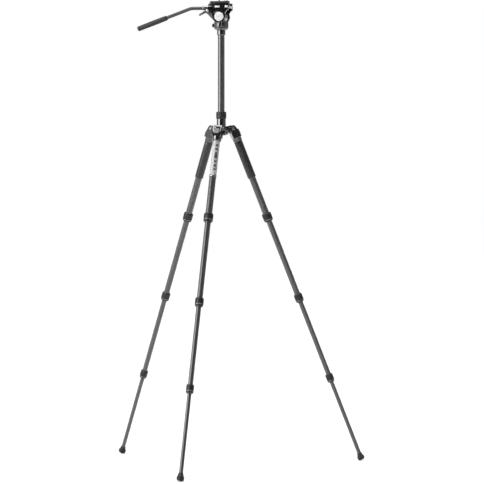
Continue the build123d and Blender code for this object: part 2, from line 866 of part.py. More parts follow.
plate_bottom = channel_floor + clear
with BuildPart() as plate:
    flange_bottom_height = rail_top + clear
    narrow = channel_half_width - channel_slope - clear
    with BuildSketch(Plane(origin=(plate_rear + 2, column_y, mount_base), x_dir=(0, 1, 0), z_dir=(1, 0, 0))):
        with BuildLine():
            Polyline(
                (-channel_half_width + clear + 0.1, plate_bottom),
                (channel_half_width - clear - 0.1, plate_bottom),
                (narrow, flange_bottom_height),
                (-narrow, flange_bottom_height),
                close=True,
            )
        make_face()
    extrude(amount=plate_front - plate_rear - 4)
    with BuildSketch(head_level(flange_bottom_height)):
        with Locations(((plate_rear + plate_front) / 2, 0)):
            RectangleRounded(plate_front - plate_rear, 2 * plate_half_width, 3)
    extrude(amount=plate_top - flange_bottom_height)
    # recess and hole for the camera screw, and the video pin's hole
    with BuildSketch(head_level(plate_bottom - 1)):
        with Locations((screw_x, 0)):
            Circle(screw_recess_radius)
    extrude(amount=screw_recess_depth + 1, mode=Mode.SUBTRACT)
    with BuildSketch(head_level(plate_bottom)):
        with Locations((screw_x, 0)):
            Circle(screw_radius + running)
    extrude(amount=30, mode=Mode.SUBTRACT)
    with BuildSketch(head_level(plate_top - pin_seat_depth)):
        with Locations((pin_x, 0)):
            Circle(pin_seat_radius)
    extrude(amount=10, mode=Mode.SUBTRACT)
save(plate.part, "quick_release_plate")

with BuildPart() as pad:
    with BuildSketch(head_level(plate_top)):
        with Locations(((plate_rear + plate_front) / 2, 0)):
            RectangleRounded(plate_front - plate_rear - 2, 2 * plate_half_width - 2, 2.5)
        with Locations((screw_x, 0)):
            Circle(screw_radius + clear, mode=Mode.SUBTRACT)
        with Locations((pin_x, 0)):
            Circle(pin_seat_radius, mode=Mode.SUBTRACT)
    extrude(amount=pad_height)
    # raised lip that stops the camera turning, at the front end
    with BuildSketch(head_level(plate_top)):
        with Locations((plate_front - 1 - lip_width / 2, 0)):
            Rectangle(lip_width, 2 * plate_half_width - 6)
    extrude(amount=pad_height + lip_height)
save(pad.part, "plate_pad")

screw_bottom = plate_bottom + screw_head_rise
with BuildPart() as camera_screw:
    with BuildSketch(head_level(screw_bottom)):
        with Locations((screw_x, 0)):
            Circle(screw_head_radius)
    extrude(amount=screw_head_height)
    with BuildSketch(head_level(screw_bottom)):
        with Locations((screw_x, 0)):
            Circle(screw_neck_radius)
    extrude(amount=pad_top - screw_bottom)
    with BuildSketch(head_level(pad_top - stud_step)):
        with Locations((screw_x, 0)):
            Circle(screw_radius)
    extrude(amount=screw_stand + stud_step)
    with BuildSketch(head_level(screw_bottom)):
        with Locations((screw_x, 0)):
            Rectangle(2 * screw_head_radius - 4, screw_slot_width)
    extrude(amount=screw_slot_depth, mode=Mode.SUBTRACT)
    chamfer(camera_screw.faces().sort_by(Axis.Z)[-1].edges(), 0.6)
save(camera_screw.part, "camera_screw")

with BuildPart() as video_pin:
    with BuildSketch(head_level(plate_top - pin_seat_depth)):
        with Locations((pin_x, 0)):
            Circle(pin_seat_radius)
    extrude(amount=pin_seat_depth + pad_height - stud_step)
    with BuildSketch(head_level(plate_top)):
        with Locations((pin_x, 0)):
            Circle(video_pin_radius)
    extrude(amount=pad_height + video_pin_stand)
    chamfer(video_pin.faces().sort_by(Axis.Z)[-1].edges(), 0.5)
save(video_pin.part, "video_pin")

# ---------------------------------------------------------------- pan handle

socket_end_x = rosette_x - socket_length
bar_start_x = rosette_x - rosette_radius - bar_end_gap
with BuildPart() as handle_clamp:
    with BuildSketch(rosette_side(-eye_inner_y)):
        Circle(rosette_radius + 0.5)
    extrude(amount=eye_width)
    # sleeve that holds the bar, level, behind the eye
    sleeve_plane = Plane(origin=(rosette_x + 2, column_y - bar_y, mount_base + bar_height), z_dir=(-1, 0, 0))
    with BuildSketch(sleeve_plane):
        Circle(sleeve_radius)
    extrude(amount=rosette_x + 2 - socket_end_x)
    with BuildSketch(sleeve_plane.offset(rosette_x + 2 - bar_start_x)):
        Circle(bar_radius)
    extrude(amount=40, mode=Mode.SUBTRACT)
    with BuildSketch(rosette_side(-eye_inner_y + 5)):
        Circle(eye_bolt_radius + running)
    extrude(amount=40, mode=Mode.SUBTRACT)
    # room for the rosette boss and the lever's hub
    for y, amount in ((-eye_inner_y, -10), (-eye_outer_y, 10)):
        with BuildSketch(rosette_side(y)):
            Circle(rosette_radius + 1)
        extrude(amount=amount, mode=Mode.SUBTRACT)
save(handle_clamp.part, "handle_clamp")

hub_y = eye_outer_y + clear
lever_plane_y = bar_y + sleeve_radius + clear
hub_end_y = lever_plane_y + lever_thickness
with BuildPart() as lever:
    with BuildSketch(rosette_side(-hub_y)):
        Circle(lever_hub_radius)
    extrude(amount=hub_end_y - hub_y)
    with BuildSketch(rosette_side(-lever_plane_y)):
        Circle(lever_root_radius)
        with Locations((
            -lever_length * cos(radians(lever_drop)),
            -lever_length * sin(radians(lever_drop)),
        )):
            Circle(lever_tip_radius)
        make_hull()
    extrude(amount=lever_thickness)
    with BuildSketch(rosette_side(-hub_y)):
        Circle(eye_bolt_radius)
    extrude(amount=20, mode=Mode.SUBTRACT)
save(lever.part, "clamp_lever")

with BuildPart() as clamp_bolt:
    bolt_start_y = cheek_outside - eye_bolt_depth
    with BuildSketch(rosette_side(-bolt_start_y)):
        Circle(eye_bolt_radius)
    extrude(amount=hub_end_y - bolt_start_y)
    with BuildSketch(rosette_side(-hub_end_y)):
        Circle(bolt_cap_radius)
    extrude(amount=bolt_cap_height)
    fillet(clamp_bolt.faces().sort_by(Axis.Y)[0].edges(), 1.2)
save(clamp_bolt.part, "clamp_bolt")

slope = radians(bar_slope)
slope_dir = Vector(-cos(slope), 0, -sin(slope))
bend = Vector(bar_bend_x, column_y - bar_y, mount_base + bar_height)
grip_start_point = bend + slope_dir * grip_from_bend
bar_end = bend + slope_dir * (grip_from_bend + handle_grip_length - 2)
bar_start = Vector(bar_start_x, column_y - bar_y, mount_base + bar_height)
with BuildPart() as handle_bar:
    with BuildLine():
        FilletPolyline(bar_start, bend, bar_end, radius=bar_bend_radius)
    with BuildSketch(Plane(origin=bar_start, z_dir=(-1, 0, 0))):
        Circle(bar_radius)
        Circle(bar_radius - bar_wall, mode=Mode.SUBTRACT)
    sweep()
save(handle_bar.part, "handle_bar")

grip_profile = Plane(origin=grip_start_point, x_dir=(sin(slope), 0, -cos(slope)), z_dir=(0, 1, 0))
grip_axis = Axis(grip_start_point, slope_dir)
grip_outer = bar_radius + handle_grip_wall
grip_points = [
    (bar_radius, 0),
    (grip_outer - 2, 0),
    (grip_outer - 0.8, 4),
    (grip_outer, 30),
    (grip_outer - 0.4, 70),
    (grip_outer, handle_grip_length - 8),
    (grip_outer - 1.0, handle_grip_length - 2),
    (bar_radius, handle_grip_length - 2),
]
save(turned(grip_profile, grip_axis, grip_points), "handle_grip")
cap_points = [
    (0, handle_grip_length - 2),
    (grip_outer - 1.0, handle_grip_length - 2),
    (grip_outer - 1.4, handle_grip_length + 0.5),
    (grip_outer - 4.0, handle_grip_length + 2),
    (0, handle_grip_length + 2),
]
save(turned(grip_profile, grip_axis, cap_points), "handle_end_cap")
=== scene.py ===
import json
from math import cos, pi, radians, sin, tau

import bpy
from bpy.props import FloatProperty, FloatVectorProperty, IntProperty, PointerProperty
from mathutils import Matrix, Vector

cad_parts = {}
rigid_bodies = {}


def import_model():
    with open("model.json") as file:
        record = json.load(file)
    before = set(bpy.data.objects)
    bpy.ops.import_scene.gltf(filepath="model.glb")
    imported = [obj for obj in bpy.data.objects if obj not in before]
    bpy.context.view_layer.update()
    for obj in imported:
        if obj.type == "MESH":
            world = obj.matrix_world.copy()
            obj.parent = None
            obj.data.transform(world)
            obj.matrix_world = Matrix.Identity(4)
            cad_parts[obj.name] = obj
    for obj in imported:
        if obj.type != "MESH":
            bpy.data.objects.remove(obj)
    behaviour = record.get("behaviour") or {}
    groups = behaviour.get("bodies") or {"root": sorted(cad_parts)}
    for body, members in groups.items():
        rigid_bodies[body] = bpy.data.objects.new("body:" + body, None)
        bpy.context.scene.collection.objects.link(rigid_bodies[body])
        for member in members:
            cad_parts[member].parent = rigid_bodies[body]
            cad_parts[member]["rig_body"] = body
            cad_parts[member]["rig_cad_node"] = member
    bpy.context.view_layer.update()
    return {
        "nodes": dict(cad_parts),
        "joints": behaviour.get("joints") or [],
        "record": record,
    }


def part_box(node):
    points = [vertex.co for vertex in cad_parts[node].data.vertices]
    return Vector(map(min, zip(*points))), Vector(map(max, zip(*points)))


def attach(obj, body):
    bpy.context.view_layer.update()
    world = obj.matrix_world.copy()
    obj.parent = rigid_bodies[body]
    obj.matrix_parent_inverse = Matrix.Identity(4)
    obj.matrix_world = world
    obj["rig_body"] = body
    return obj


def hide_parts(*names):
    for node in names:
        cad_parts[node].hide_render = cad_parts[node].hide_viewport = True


bl_info = {
    "name": "Camera tripod",
    "version": (1, 0, 0),
    "blender": (4, 5, 0),
    "location": "View3D > Sidebar > Tripod",
    "description": "Dresses a folding camera tripod and its small pan and tilt head",
    "category": "Object",
}

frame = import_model()
NODES = frame["nodes"]
JOINTS = {joint["name"]: joint for joint in frame["joints"]}
BODIES = frame["record"]["behaviour"]["bodies"]
BODY_OF = {node: body for body, members in BODIES.items() for node in members}
LEGS = ("front_leg", "right_leg", "left_leg")
MM = 0.001
UP = Vector((0, 0, 1))
TOWARDS_FRONT_LEG = Vector((0, -1, 0))
ACROSS = Vector((1, 0, 0))
SAME_CORNER = 0.002 * MM  # corners nearer than this are one
FLOOR_SIZE = 60
FLOOR_DROP = 0.4 * MM  # the floor lies just under the feet
LAMP_SIZE = 1.6
LOCK_NOSE = 6.4  # tapering end of a twist lock, in millimetres
PAD_THICKNESS = 2.0  # rubber pad under its lip, in millimetres

# ---------------------------------------------------------------- places, read from the frame


def place_of(joint):
    return Vector(JOINTS[joint]["pos_m"])


def axis_of(joint):
    return Vector(JOINTS[joint]["axis"]).normalized()


def axes_at(origin, along, across):
    """A set of axes at origin: Z runs along, and X runs across as nearly as it can."""
    z = along.normalized()
    x = (across - z * across.dot(z)).normalized()
    axes = Matrix((x, z.cross(x), z)).transposed().to_4x4()
    axes.translation = origin
    return axes


def leg_axes(leg):
    """Z runs down the leg's tubes from beside its hinge, and X points outboard."""
    down = axis_of(f"{leg}_lock_1_turn")
    lock = place_of(f"{leg}_lock_1_turn")
    pin = place_of(f"{leg}_hinge")
    top = lock - down * (lock - pin).dot(down)
    return axes_at(top, down, axis_of(f"{leg}_angle_tab_pull"))


def corners(node):
    return [vertex.co.copy() for vertex in NODES[node].data.vertices]


def span(node, axes):
    """A node's smallest and largest radius round the axes' Z, and its ends along it."""
    inverse = axes.inverted()
    points = [inverse @ corner for corner in corners(node)]
    radii = [point.xy.length for point in points]
    heights = [point.z for point in points]
    return min(radii), max(radii), min(heights), max(heights)


def span_mm(node, axes):
    return tuple(value / MM for value in span(node, axes))


def middle_of(node):
    """The mean of a turned node's corners, each counted once, which lies on its axis."""
    seen = {tuple(round(value, 6) for value in corner) for corner in corners(node)}
    return sum((Vector(corner) for corner in seen), Vector()) / len(seen)


LEG_AXES = {leg: leg_axes(leg) for leg in LEGS}
COLUMN = Vector((*place_of("column_lock_turn").xy, 0))
COLUMN_AXES = Matrix.Translation(COLUMN)
TILT_AXIS = place_of("head_tilt")

# ---------------------------------------------------------------- sizes and colours


def length(name, description, value):
    return FloatProperty(name=name, description=description, default=value, unit="LENGTH", precision=5)


def angle(name, description, degrees):
    return FloatProperty(name=name, description=description, default=radians(degrees), subtype="ANGLE")


def amount(name, description, value):
    return FloatProperty(name=name, description=description, default=value)


def number(name, description, value):
    return IntProperty(name=name, description=description, default=value)


def colour(name, description, value):
    return FloatVectorProperty(
        name=name, description=description, default=value, subtype="COLOR", min=0, max=1
    )


class TripodSizes(bpy.types.PropertyGroup):
    """Sizes of the fine detail, which the fixed frame leaves plain"""

    weave: length("Weave", "Width of one carbon tow", 2.4 * MM)
    cast_edge: length("Cast edge", "Rounding of a casting's edges", 0.7 * MM)
    lock_ribs: number("Lock ribs", "Grooves round a twist lock", 30)
    rib_depth: length("Rib depth", "Depth of a twist lock's grooves", 0.55 * MM)
    knurl_columns: number("Knurl", "Raised blocks round the column's lock", 28)
    grip_round: length("Grip rounding", "Rounding at the ends of the leg grips", 1.8 * MM)
    thread_pitch: length("Thread pitch", "One turn of the camera screw", 1.27 * MM)
    bar_slope: angle("Handle slope", "Slope of the handle under level", 19.5)


class TripodColours(bpy.types.PropertyGroup):
    """Colours of the finishes"""

    carbon_dark: colour("Carbon, dark tows", "Tows that run across", (0.012, 0.012, 0.013))
    carbon_light: colour("Carbon, light tows", "Tows that run along", (0.05, 0.05, 0.054))
    paint: colour("Black paint", "Paint on the castings", (0.004, 0.004, 0.0043))
    rubber: colour("Rubber", "Rubber of the locks and feet", (0.007, 0.007, 0.0073))
    foam: colour("Foam", "Leg grips", (0.006, 0.006, 0.0063))
    film: colour("Film", "Silver band on the front leg", (0.4, 0.404, 0.408))
    marks: colour("Marks", "Stripes printed on the band", (0.1, 0.1, 0.1))
    steel: colour("Steel", "Bolts, screws and pins", (0.3, 0.3, 0.305))
    # silver is also the colour of the pale plates that paint highlights on the platform
    silver: colour("Silver", "Cover disc on the head", (0.6, 0.6, 0.602))
    grey: colour("Grey paint", "Angle tabs", (0.22, 0.22, 0.222))
    lever: colour("Lever", "Clamp lever", (0.045, 0.045, 0.046))
    bar: colour("Handle bar", "Anodised handle bar", (0.05, 0.05, 0.053))
    plastic: colour("Plastic", "Knobs and bushings", (0.008, 0.008, 0.0083))
    floor: colour("Floor", "Pale studio floor", (0.92, 0.92, 0.92))


class TripodStage(bpy.types.PropertyGroup):
    """Where the camera stands and how bright the studio is"""

    distance: length("Camera distance", "Camera to the column, level", 9.0)
    azimuth: angle("Camera azimuth", "Round from the front leg", 15.24)
    aim: angle("Camera aim", "Turn of the view off the column", -0.49)
    pitch: angle("Camera pitch", "How far the view looks down", 1.23)
    height: length("Camera height", "Camera over the floor", 1.0204)
    lens: amount("Lens", "Focal length in millimetres", 180.44)
    panel: amount("Soft panel", "Tall bright panel left of the camera", 8.5)
    left_wall: amount("Left wall", "Light from the left", 0.8)
    right_wall: amount("Right wall", "Light from the right", 0.42)
    middle: amount("Dark middle", "Light from round the camera", 0.035)
    backdrop: amount("Backdrop", "Light from behind the tripod", 0.8)
    ceiling: amount("Ceiling", "Light from straight above, which keeps the floor white", 4.8)
    top: amount("Top light", "Power of the lamp overhead", 30.0)


def sizes():
    return bpy.context.scene.tripod_sizes


def colours():
    return bpy.context.scene.tripod_colours


# ---------------------------------------------------------------- modelling


def clear_selection():
    if bpy.context.object and bpy.context.object.mode != "OBJECT":
        bpy.ops.object.mode_set(mode="OBJECT")
    bpy.ops.object.select_all(action="DESELECT")


def select_only(piece):
    clear_selection()
    piece.select_set(True)
    bpy.context.view_layer.objects.active = piece


def edit_all(piece, kind="VERT"):
    select_only(piece)
    bpy.ops.object.mode_set(mode="EDIT")
    bpy.ops.mesh.select_mode(type=kind)
    bpy.ops.mesh.select_all(action="SELECT")


def edit_faces(piece, chosen):
    """Enters edit mode with the faces selected whose middle and normal pass the test."""
    edit_all(piece, "FACE")
    bpy.ops.mesh.select_all(action="DESELECT")
    bpy.ops.object.mode_set(mode="OBJECT")
    for face in piece.data.polygons:
        face.select = chosen(face.center, face.normal)
    bpy.ops.object.mode_set(mode="EDIT")


def leave_edit():
    bpy.ops.object.mode_set(mode="OBJECT")


def close_up(piece):
    """Merges doubled corners and turns every face outwards."""
    edit_all(piece)
    bpy.ops.mesh.remove_doubles(threshold=SAME_CORNER)
    bpy.ops.mesh.normals_make_consistent(inside=False)
    leave_edit()


def smooth(piece, angle=32):
    select_only(piece)
    bpy.ops.object.shade_smooth_by_angle(angle=radians(angle))


def round_edges(piece, width, segments=2, angle=34):
    """Bevels the edges that turn by more than the angle."""
    select_only(piece)
    bevel = piece.modifiers.new("rounding", "BEVEL")
    bevel.width = width
    bevel.segments = segments
    bevel.limit_method = "ANGLE"
    bevel.angle_limit = radians(angle)
    bevel.miter_outer = "MITER_ARC"
    bpy.ops.object.modifier_apply(modifier=bevel.name)


def settle(piece, axes):
    """Puts a piece modelled at the origin on its axes, with its place in its mesh."""
    select_only(piece)
    piece.matrix_world = axes
    bpy.ops.object.transform_apply(location=True, rotation=True, scale=True)


def join(pieces):
    select_only(pieces[0])
    for piece in pieces[1:]:
        piece.select_set(True)
    bpy.ops.object.join()
    return pieces[0]


def twin(piece, name):
    copy = piece.copy()
    copy.data = piece.data.copy()
    copy.name = name
    bpy.context.scene.collection.objects.link(copy)
    return copy


def cube(low, high):
    """A plain box between two corners."""
    clear_selection()
    bpy.ops.mesh.primitive_cube_add(size=1, location=[(a + b) / 2 for a, b in zip(low, high)])
    piece = bpy.context.object
    piece.scale = [b - a for a, b in zip(low, high)]
    bpy.ops.object.transform_apply(location=True, rotation=True, scale=True)
    return piece


def turned(name, outline, sides=64, hollow=False):
    """A piece turned on Z, ring by ring, from (radius, height) in millimetres.

    A solid piece is capped at both ends. A hollow one joins its last ring to its first.
    """
    clear_selection()
    radius, height = outline[0]
    fill = "NOTHING" if hollow else "NGON"
    bpy.ops.mesh.primitive_circle_add(
        vertices=sides, radius=radius * MM, fill_type=fill, location=(0, 0, height * MM)
    )
    piece = bpy.context.object
    piece.name = name
    bpy.ops.object.transform_apply(location=True, rotation=True, scale=True)
    edit_all(piece, "EDGE" if hollow else "FACE")
    for next_radius, next_height in outline[1:]:
        rise = (next_height - height) * MM
        if hollow:
            bpy.ops.mesh.extrude_edges_move(TRANSFORM_OT_translate={"value": (0, 0, rise)})
        else:
            bpy.ops.mesh.extrude_region_move(TRANSFORM_OT_translate={"value": (0, 0, rise)})
        grow = next_radius / radius
        bpy.ops.transform.resize(value=(grow, grow, 1), center_override=(0, 0, 0))
        radius, height = next_radius, next_height
    if hollow:
        bpy.ops.mesh.select_all(action="DESELECT")
        bpy.ops.mesh.select_mode(type="EDGE")
        bpy.ops.mesh.select_non_manifold()
        bpy.ops.mesh.bridge_edge_loops()
    leave_edit()
    close_up(piece)
    return piece


def turned_on(axes, name, outline, sides, soft=32, hollow=False):
    """A turned piece with soft shading, set on its axes."""
    piece = turned(name, outline, sides, hollow)
    smooth(piece, soft)
    settle(piece, axes)
    return piece


def around(point):
    """A point's angle round Z, in turns from 0 to 1."""
    return (Vector((1, 0)).angle_signed(point.xy, 0) / tau) % 1


def grooves(piece, count, depth, low, high, radius, share=0.3):
    """Presses lengthwise grooves into the side between two heights, in metres."""

    def in_groove(middle, normal):
        turn = (around(middle) * count) % 1
        side = abs(normal.z) < 0.3 and middle.xy.length > radius
        return side and low < middle.z < high and turn < share

    edit_faces(piece, in_groove)
    bpy.ops.mesh.extrude_region_shrink_fatten(TRANSFORM_OT_shrink_fatten={"value": -depth})
    leave_edit()


def lobes(piece, count, depth, reach, radius):
    """Draws the side of a knob in at even steps, so that lobes stand between them."""
    for index in range(count):
        turn = (index + 0.5) / count
        inward = Vector((-cos(turn * tau), -sin(turn * tau), 0))

        def in_valley(middle, normal, turn=turn):
            apart = abs((around(middle) - turn + 0.5) % 1 - 0.5)
            return middle.xy.length > radius and apart * count < 0.14

        edit_faces(piece, in_valley)
        bpy.ops.transform.translate(
            value=inward * depth,
            use_proportional_edit=True,
            proportional_edit_falloff="SMOOTH",
            proportional_size=reach,
        )
        leave_edit()


def soft_cast(node, name, width=None, angle=34, segments=3):
    """A copy of a plain node with its edges rounded as a casting's are."""
    piece = twin(NODES[node], name)
    piece.parent = None
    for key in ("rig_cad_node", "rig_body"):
        del piece[key]
    edit_all(piece)
    bpy.ops.mesh.remove_doubles(threshold=SAME_CORNER)
    bpy.ops.mesh.customdata_custom_splitnormals_clear()
    bpy.ops.mesh.dissolve_limited(angle_limit=radians(0.6))
    leave_edit()
    round_edges(piece, width or sizes().cast_edge, segments, angle)
    smooth(piece, 40)
    return piece


def dress(piece, finish, *nodes):
    """Gives a piece its finish, its body and the nodes that it stands for."""
    piece.data.materials.clear()
    piece.data.materials.append(finish)
    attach(piece, BODY_OF[nodes[0]])
    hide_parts(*nodes)


def add_beside(piece, finish, node):
    """Gives an extra piece its finish, and lets it ride with a node without replacing it."""
    piece.data.materials.clear()
    piece.data.materials.append(finish)
    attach(piece, BODY_OF[node])


def paint_node(node, finish):
    NODES[node].data.materials.clear()
    NODES[node].data.materials.append(finish)


# ---------------------------------------------------------------- finishes


class Finish:
    """A material in the making, and short ways to add nodes to it."""

    def __init__(self, name, settings, axes=None):
        self.material = bpy.data.materials.new(name)
        self.material.use_nodes = True
        self.nodes = self.material.node_tree.nodes
        self.links = self.material.node_tree.links
        self.shader = self.nodes["Principled BSDF"]
        for socket, value in settings.items():
            self.shader.inputs[socket].default_value = (*value, 1) if hasattr(value, "__len__") else value
        place = self.add("ShaderNodeTexCoord").outputs["Object"]
        if axes is not None:
            turn = self.add("ShaderNodeMapping")
            turn.vector_type = "TEXTURE"
            turn.inputs["Location"].default_value = axes.translation
            turn.inputs["Rotation"].default_value = axes.to_euler("XYZ")
            self.links.new(place, turn.inputs["Vector"])
            place = turn.outputs["Vector"]
        self.place = place

    def add(self, kind):
        return self.nodes.new(kind)

    def put(self, value, socket):
        if isinstance(value, bpy.types.NodeSocket):
            self.links.new(value, socket)
        else:
            socket.default_value = value

    def math(self, operation, first, second=0.0):
        node = self.add("ShaderNodeMath")
        node.operation = operation
        self.put(first, node.inputs[0])
        self.put(second, node.inputs[1])
        return node.outputs[0]

    def times(self, first, second):
        return self.math("MULTIPLY", first, second)

    def below(self, value, limit):
        return self.math("LESS_THAN", value, limit)

    def parts(self):
        node = self.add("ShaderNodeSeparateXYZ")
        self.links.new(self.place, node.inputs[0])
        return node.outputs

    def angle(self):
        x, y, _ = self.parts()
        return self.math("ARCTAN2", y, x)

    def distance(self):
        x, y, _ = self.parts()
        return self.math("SQRT", self.math("ADD", self.times(x, x), self.times(y, y)))

    def noise(self, scale, detail=3.0, stretch=None):
        node = self.add("ShaderNodeTexNoise")
        node.inputs["Scale"].default_value = scale
        node.inputs["Detail"].default_value = detail
        place = self.place
        if stretch:
            squeeze = self.add("ShaderNodeMapping")
            squeeze.inputs["Scale"].default_value = stretch
            self.links.new(place, squeeze.inputs["Vector"])
            place = squeeze.outputs["Vector"]
        self.links.new(place, node.inputs["Vector"])
        return node.outputs["Fac"]

    def cells(self, scale):
        node = self.add("ShaderNodeTexVoronoi")
        node.inputs["Scale"].default_value = scale
        self.links.new(self.place, node.inputs["Vector"])
        return node.outputs["Distance"]

    def spread(self, value, low, high):
        """Maps 0 to 1 onto low to high."""
        node = self.add("ShaderNodeMapRange")
        self.links.new(value, node.inputs["Value"])
        node.inputs["To Min"].default_value = low
        node.inputs["To Max"].default_value = high
        return node.outputs["Result"]

    def mix(self, share, first, second):
        node = self.add("ShaderNodeMix")
        node.data_type = "RGBA"
        self.put(share, node.inputs["Factor"])
        for socket, value in ((node.inputs[6], first), (node.inputs[7], second)):
            self.put(value if isinstance(value, bpy.types.NodeSocket) else (*value, 1), socket)
        return node.outputs[2]

    def colour(self, value):
        self.links.new(value, self.shader.inputs["Base Color"])

    def rough(self, value):
        self.links.new(value, self.shader.inputs["Roughness"])

    def bump(self, height, distance, strength=1.0):
        node = self.add("ShaderNodeBump")
        node.inputs["Distance"].default_value = distance
        node.inputs["Strength"].default_value = strength
        self.links.new(height, node.inputs["Height"])
        self.links.new(node.outputs["Normal"], self.shader.inputs["Normal"])


def shade(tone, factor):
    return tuple(min(1.0, value * factor) for value in tone)


def carbon(name, axes, radius):
    """Two by two twill of carbon tows round a tube, under a clear coat."""
    finish = Finish(name, {"Coat Weight": 1.0, "Coat Roughness": 0.14, "Metallic": 0.0}, axes)
    width = sizes().weave
    tows = 4 * round(tau * radius / width / 4)
    turn = finish.times(finish.angle(), tows / tau)
    height = finish.times(finish.parts()[2], 1 / width)
    steps = finish.math("ADD", finish.math("FLOOR", turn), finish.math("FLOOR", height))
    along = finish.below(finish.math("FLOORED_MODULO", steps, 4.0), 2.0)
    crown_turn = finish.math("SINE", finish.times(finish.math("FRACT", turn), pi))
    crown_height = finish.math("SINE", finish.times(finish.math("FRACT", height), pi))
    crown = finish.add("ShaderNodeMix")
    finish.put(along, crown.inputs["Factor"])
    finish.put(crown_height, crown.inputs[2])
    finish.put(crown_turn, crown.inputs[3])
    fibres = finish.spread(finish.noise(5200, 2.0, (1, 1, 0.08)), 0.82, 1.12)
    tone = finish.mix(along, colours().carbon_dark, colours().carbon_light)
    tinted = finish.add("ShaderNodeHueSaturation")
    finish.put(tone, tinted.inputs["Color"])
    finish.put(fibres, tinted.inputs["Value"])
    finish.colour(tinted.outputs["Color"])
    finish.rough(finish.spread(along, 0.42, 0.3))
    finish.bump(crown.outputs[0], 0.06 * MM, 0.6)
    return finish.material


def cast_paint():
    """Glossy black paint over a casting, with the faint waves of a sprayed coat."""
    lacquer = {"Coat Weight": 1.0, "Coat Roughness": 0.05, "Coat IOR": 1.9}
    finish = Finish("cast_paint", {"Specular IOR Level": 0.2, **lacquer})
    cloud = finish.noise(60, 4.0)
    finish.colour(finish.mix(cloud, shade(colours().paint, 0.7), shade(colours().paint, 1.5)))
    finish.rough(finish.spread(finish.noise(300), 0.16, 0.32))
    finish.bump(finish.noise(900, 2.0), 0.03 * MM, 0.5)
    return finish.material


def rubber(name, tone, grain, depth, low, high):
    """Moulded rubber: a fine grain, and a bloom where it has been handled."""
    finish = Finish(name, {"Specular IOR Level": 0.45})
    finish.colour(finish.mix(finish.noise(45, 5.0), shade(tone, 0.75), shade(tone, 1.6)))
    finish.rough(finish.spread(finish.noise(210), low, high))
    finish.bump(finish.cells(grain), depth, 0.8)
    return finish.material


def foam():
    """Closed-cell foam with a smooth skin."""
    finish = Finish("grip_foam", {"Coat Weight": 0.6, "Coat Roughness": 0.22, "Specular IOR Level": 0.3})
    pores = finish.cells(1500)
    finish.colour(finish.mix(pores, shade(colours().foam, 0.5), shade(colours().foam, 1.7)))
    finish.rough(finish.spread(finish.noise(260), 0.36, 0.52))
    finish.bump(pores, 0.12 * MM, 0.5)
    return finish.material


def film(axes, low, high):
    """Silver film with a column of plain stripes down the side away from the handle."""
    finish = Finish("label_film", {"Metallic": 0.15, "Specular IOR Level": 0.2}, axes)
    length = high - low
    height = finish.math("DIVIDE", finish.math("SUBTRACT", finish.parts()[2], low), length)
    beside = finish.math("ABSOLUTE", finish.math("SUBTRACT", finish.angle(), -0.55))
    column = finish.below(beside, 0.42)
    beat = finish.math("FRACT", finish.times(height, 9.0))
    long_beat = finish.math("FRACT", finish.times(height, 2.0))
    bar = finish.below(beat, 0.62)
    stretch = finish.below(long_beat, 0.78)
    inside = finish.below(finish.math("ABSOLUTE", finish.math("SUBTRACT", height, 0.47)), 0.36)
    stripe = finish.times(finish.times(bar, stretch), finish.times(column, inside))
    gap = finish.math("SUBTRACT", 1.0, stretch)
    dark = finish.times(finish.times(gap, column), inside)
    grain = finish.noise(800, 2.0, (1, 1, 0.05))
    plain = finish.mix(grain, shade(colours().film, 0.85), shade(colours().film, 1.1))
    marked = finish.mix(stripe, plain, colours().marks)
    finish.colour(finish.mix(dark, marked, shade(colours().film, 0.16)))
    finish.rough(finish.spread(grain, 0.26, 0.38))
    finish.bump(stripe, 0.02 * MM, 0.4)
    return finish.material


def lathe_metal(name, tone, axes, pitch, low=0.2, high=0.34, metallic=1.0, depth=0.012):
    """Metal with the fine rings that a lathe leaves."""
    finish = Finish(name, {"Metallic": metallic, "Specular IOR Level": 0.5}, axes)
    rings = finish.math("SINE", finish.times(finish.distance(), tau / pitch))
    cloud = finish.noise(130, 4.0)
    finish.colour(finish.mix(cloud, shade(tone, 0.9), shade(tone, 1.08)))
    finish.rough(finish.spread(finish.noise(700), low, high))
    finish.bump(rings, depth * MM, 0.5)
    return finish.material


def satin(name, tone, metallic, low, high, grain=1400):
    """Sprayed or anodised satin surface."""
    finish = Finish(name, {"Metallic": metallic, "Specular IOR Level": 0.5})
    cloud = finish.noise(75, 4.0)
    finish.colour(finish.mix(cloud, shade(tone, 0.86), shade(tone, 1.14)))
    finish.rough(finish.spread(finish.noise(400), low, high))
    finish.bump(finish.noise(grain, 2.0), 0.03 * MM, 0.6)
    return finish.material


def plain_floor():
    finish = Finish("pale_floor", {"Specular IOR Level": 0.2, "Roughness": 0.8})
    finish.colour(finish.mix(finish.noise(1.5, 2.0), shade(colours().floor, 0.99), colours().floor))
    return finish.material


FINISHES = {}


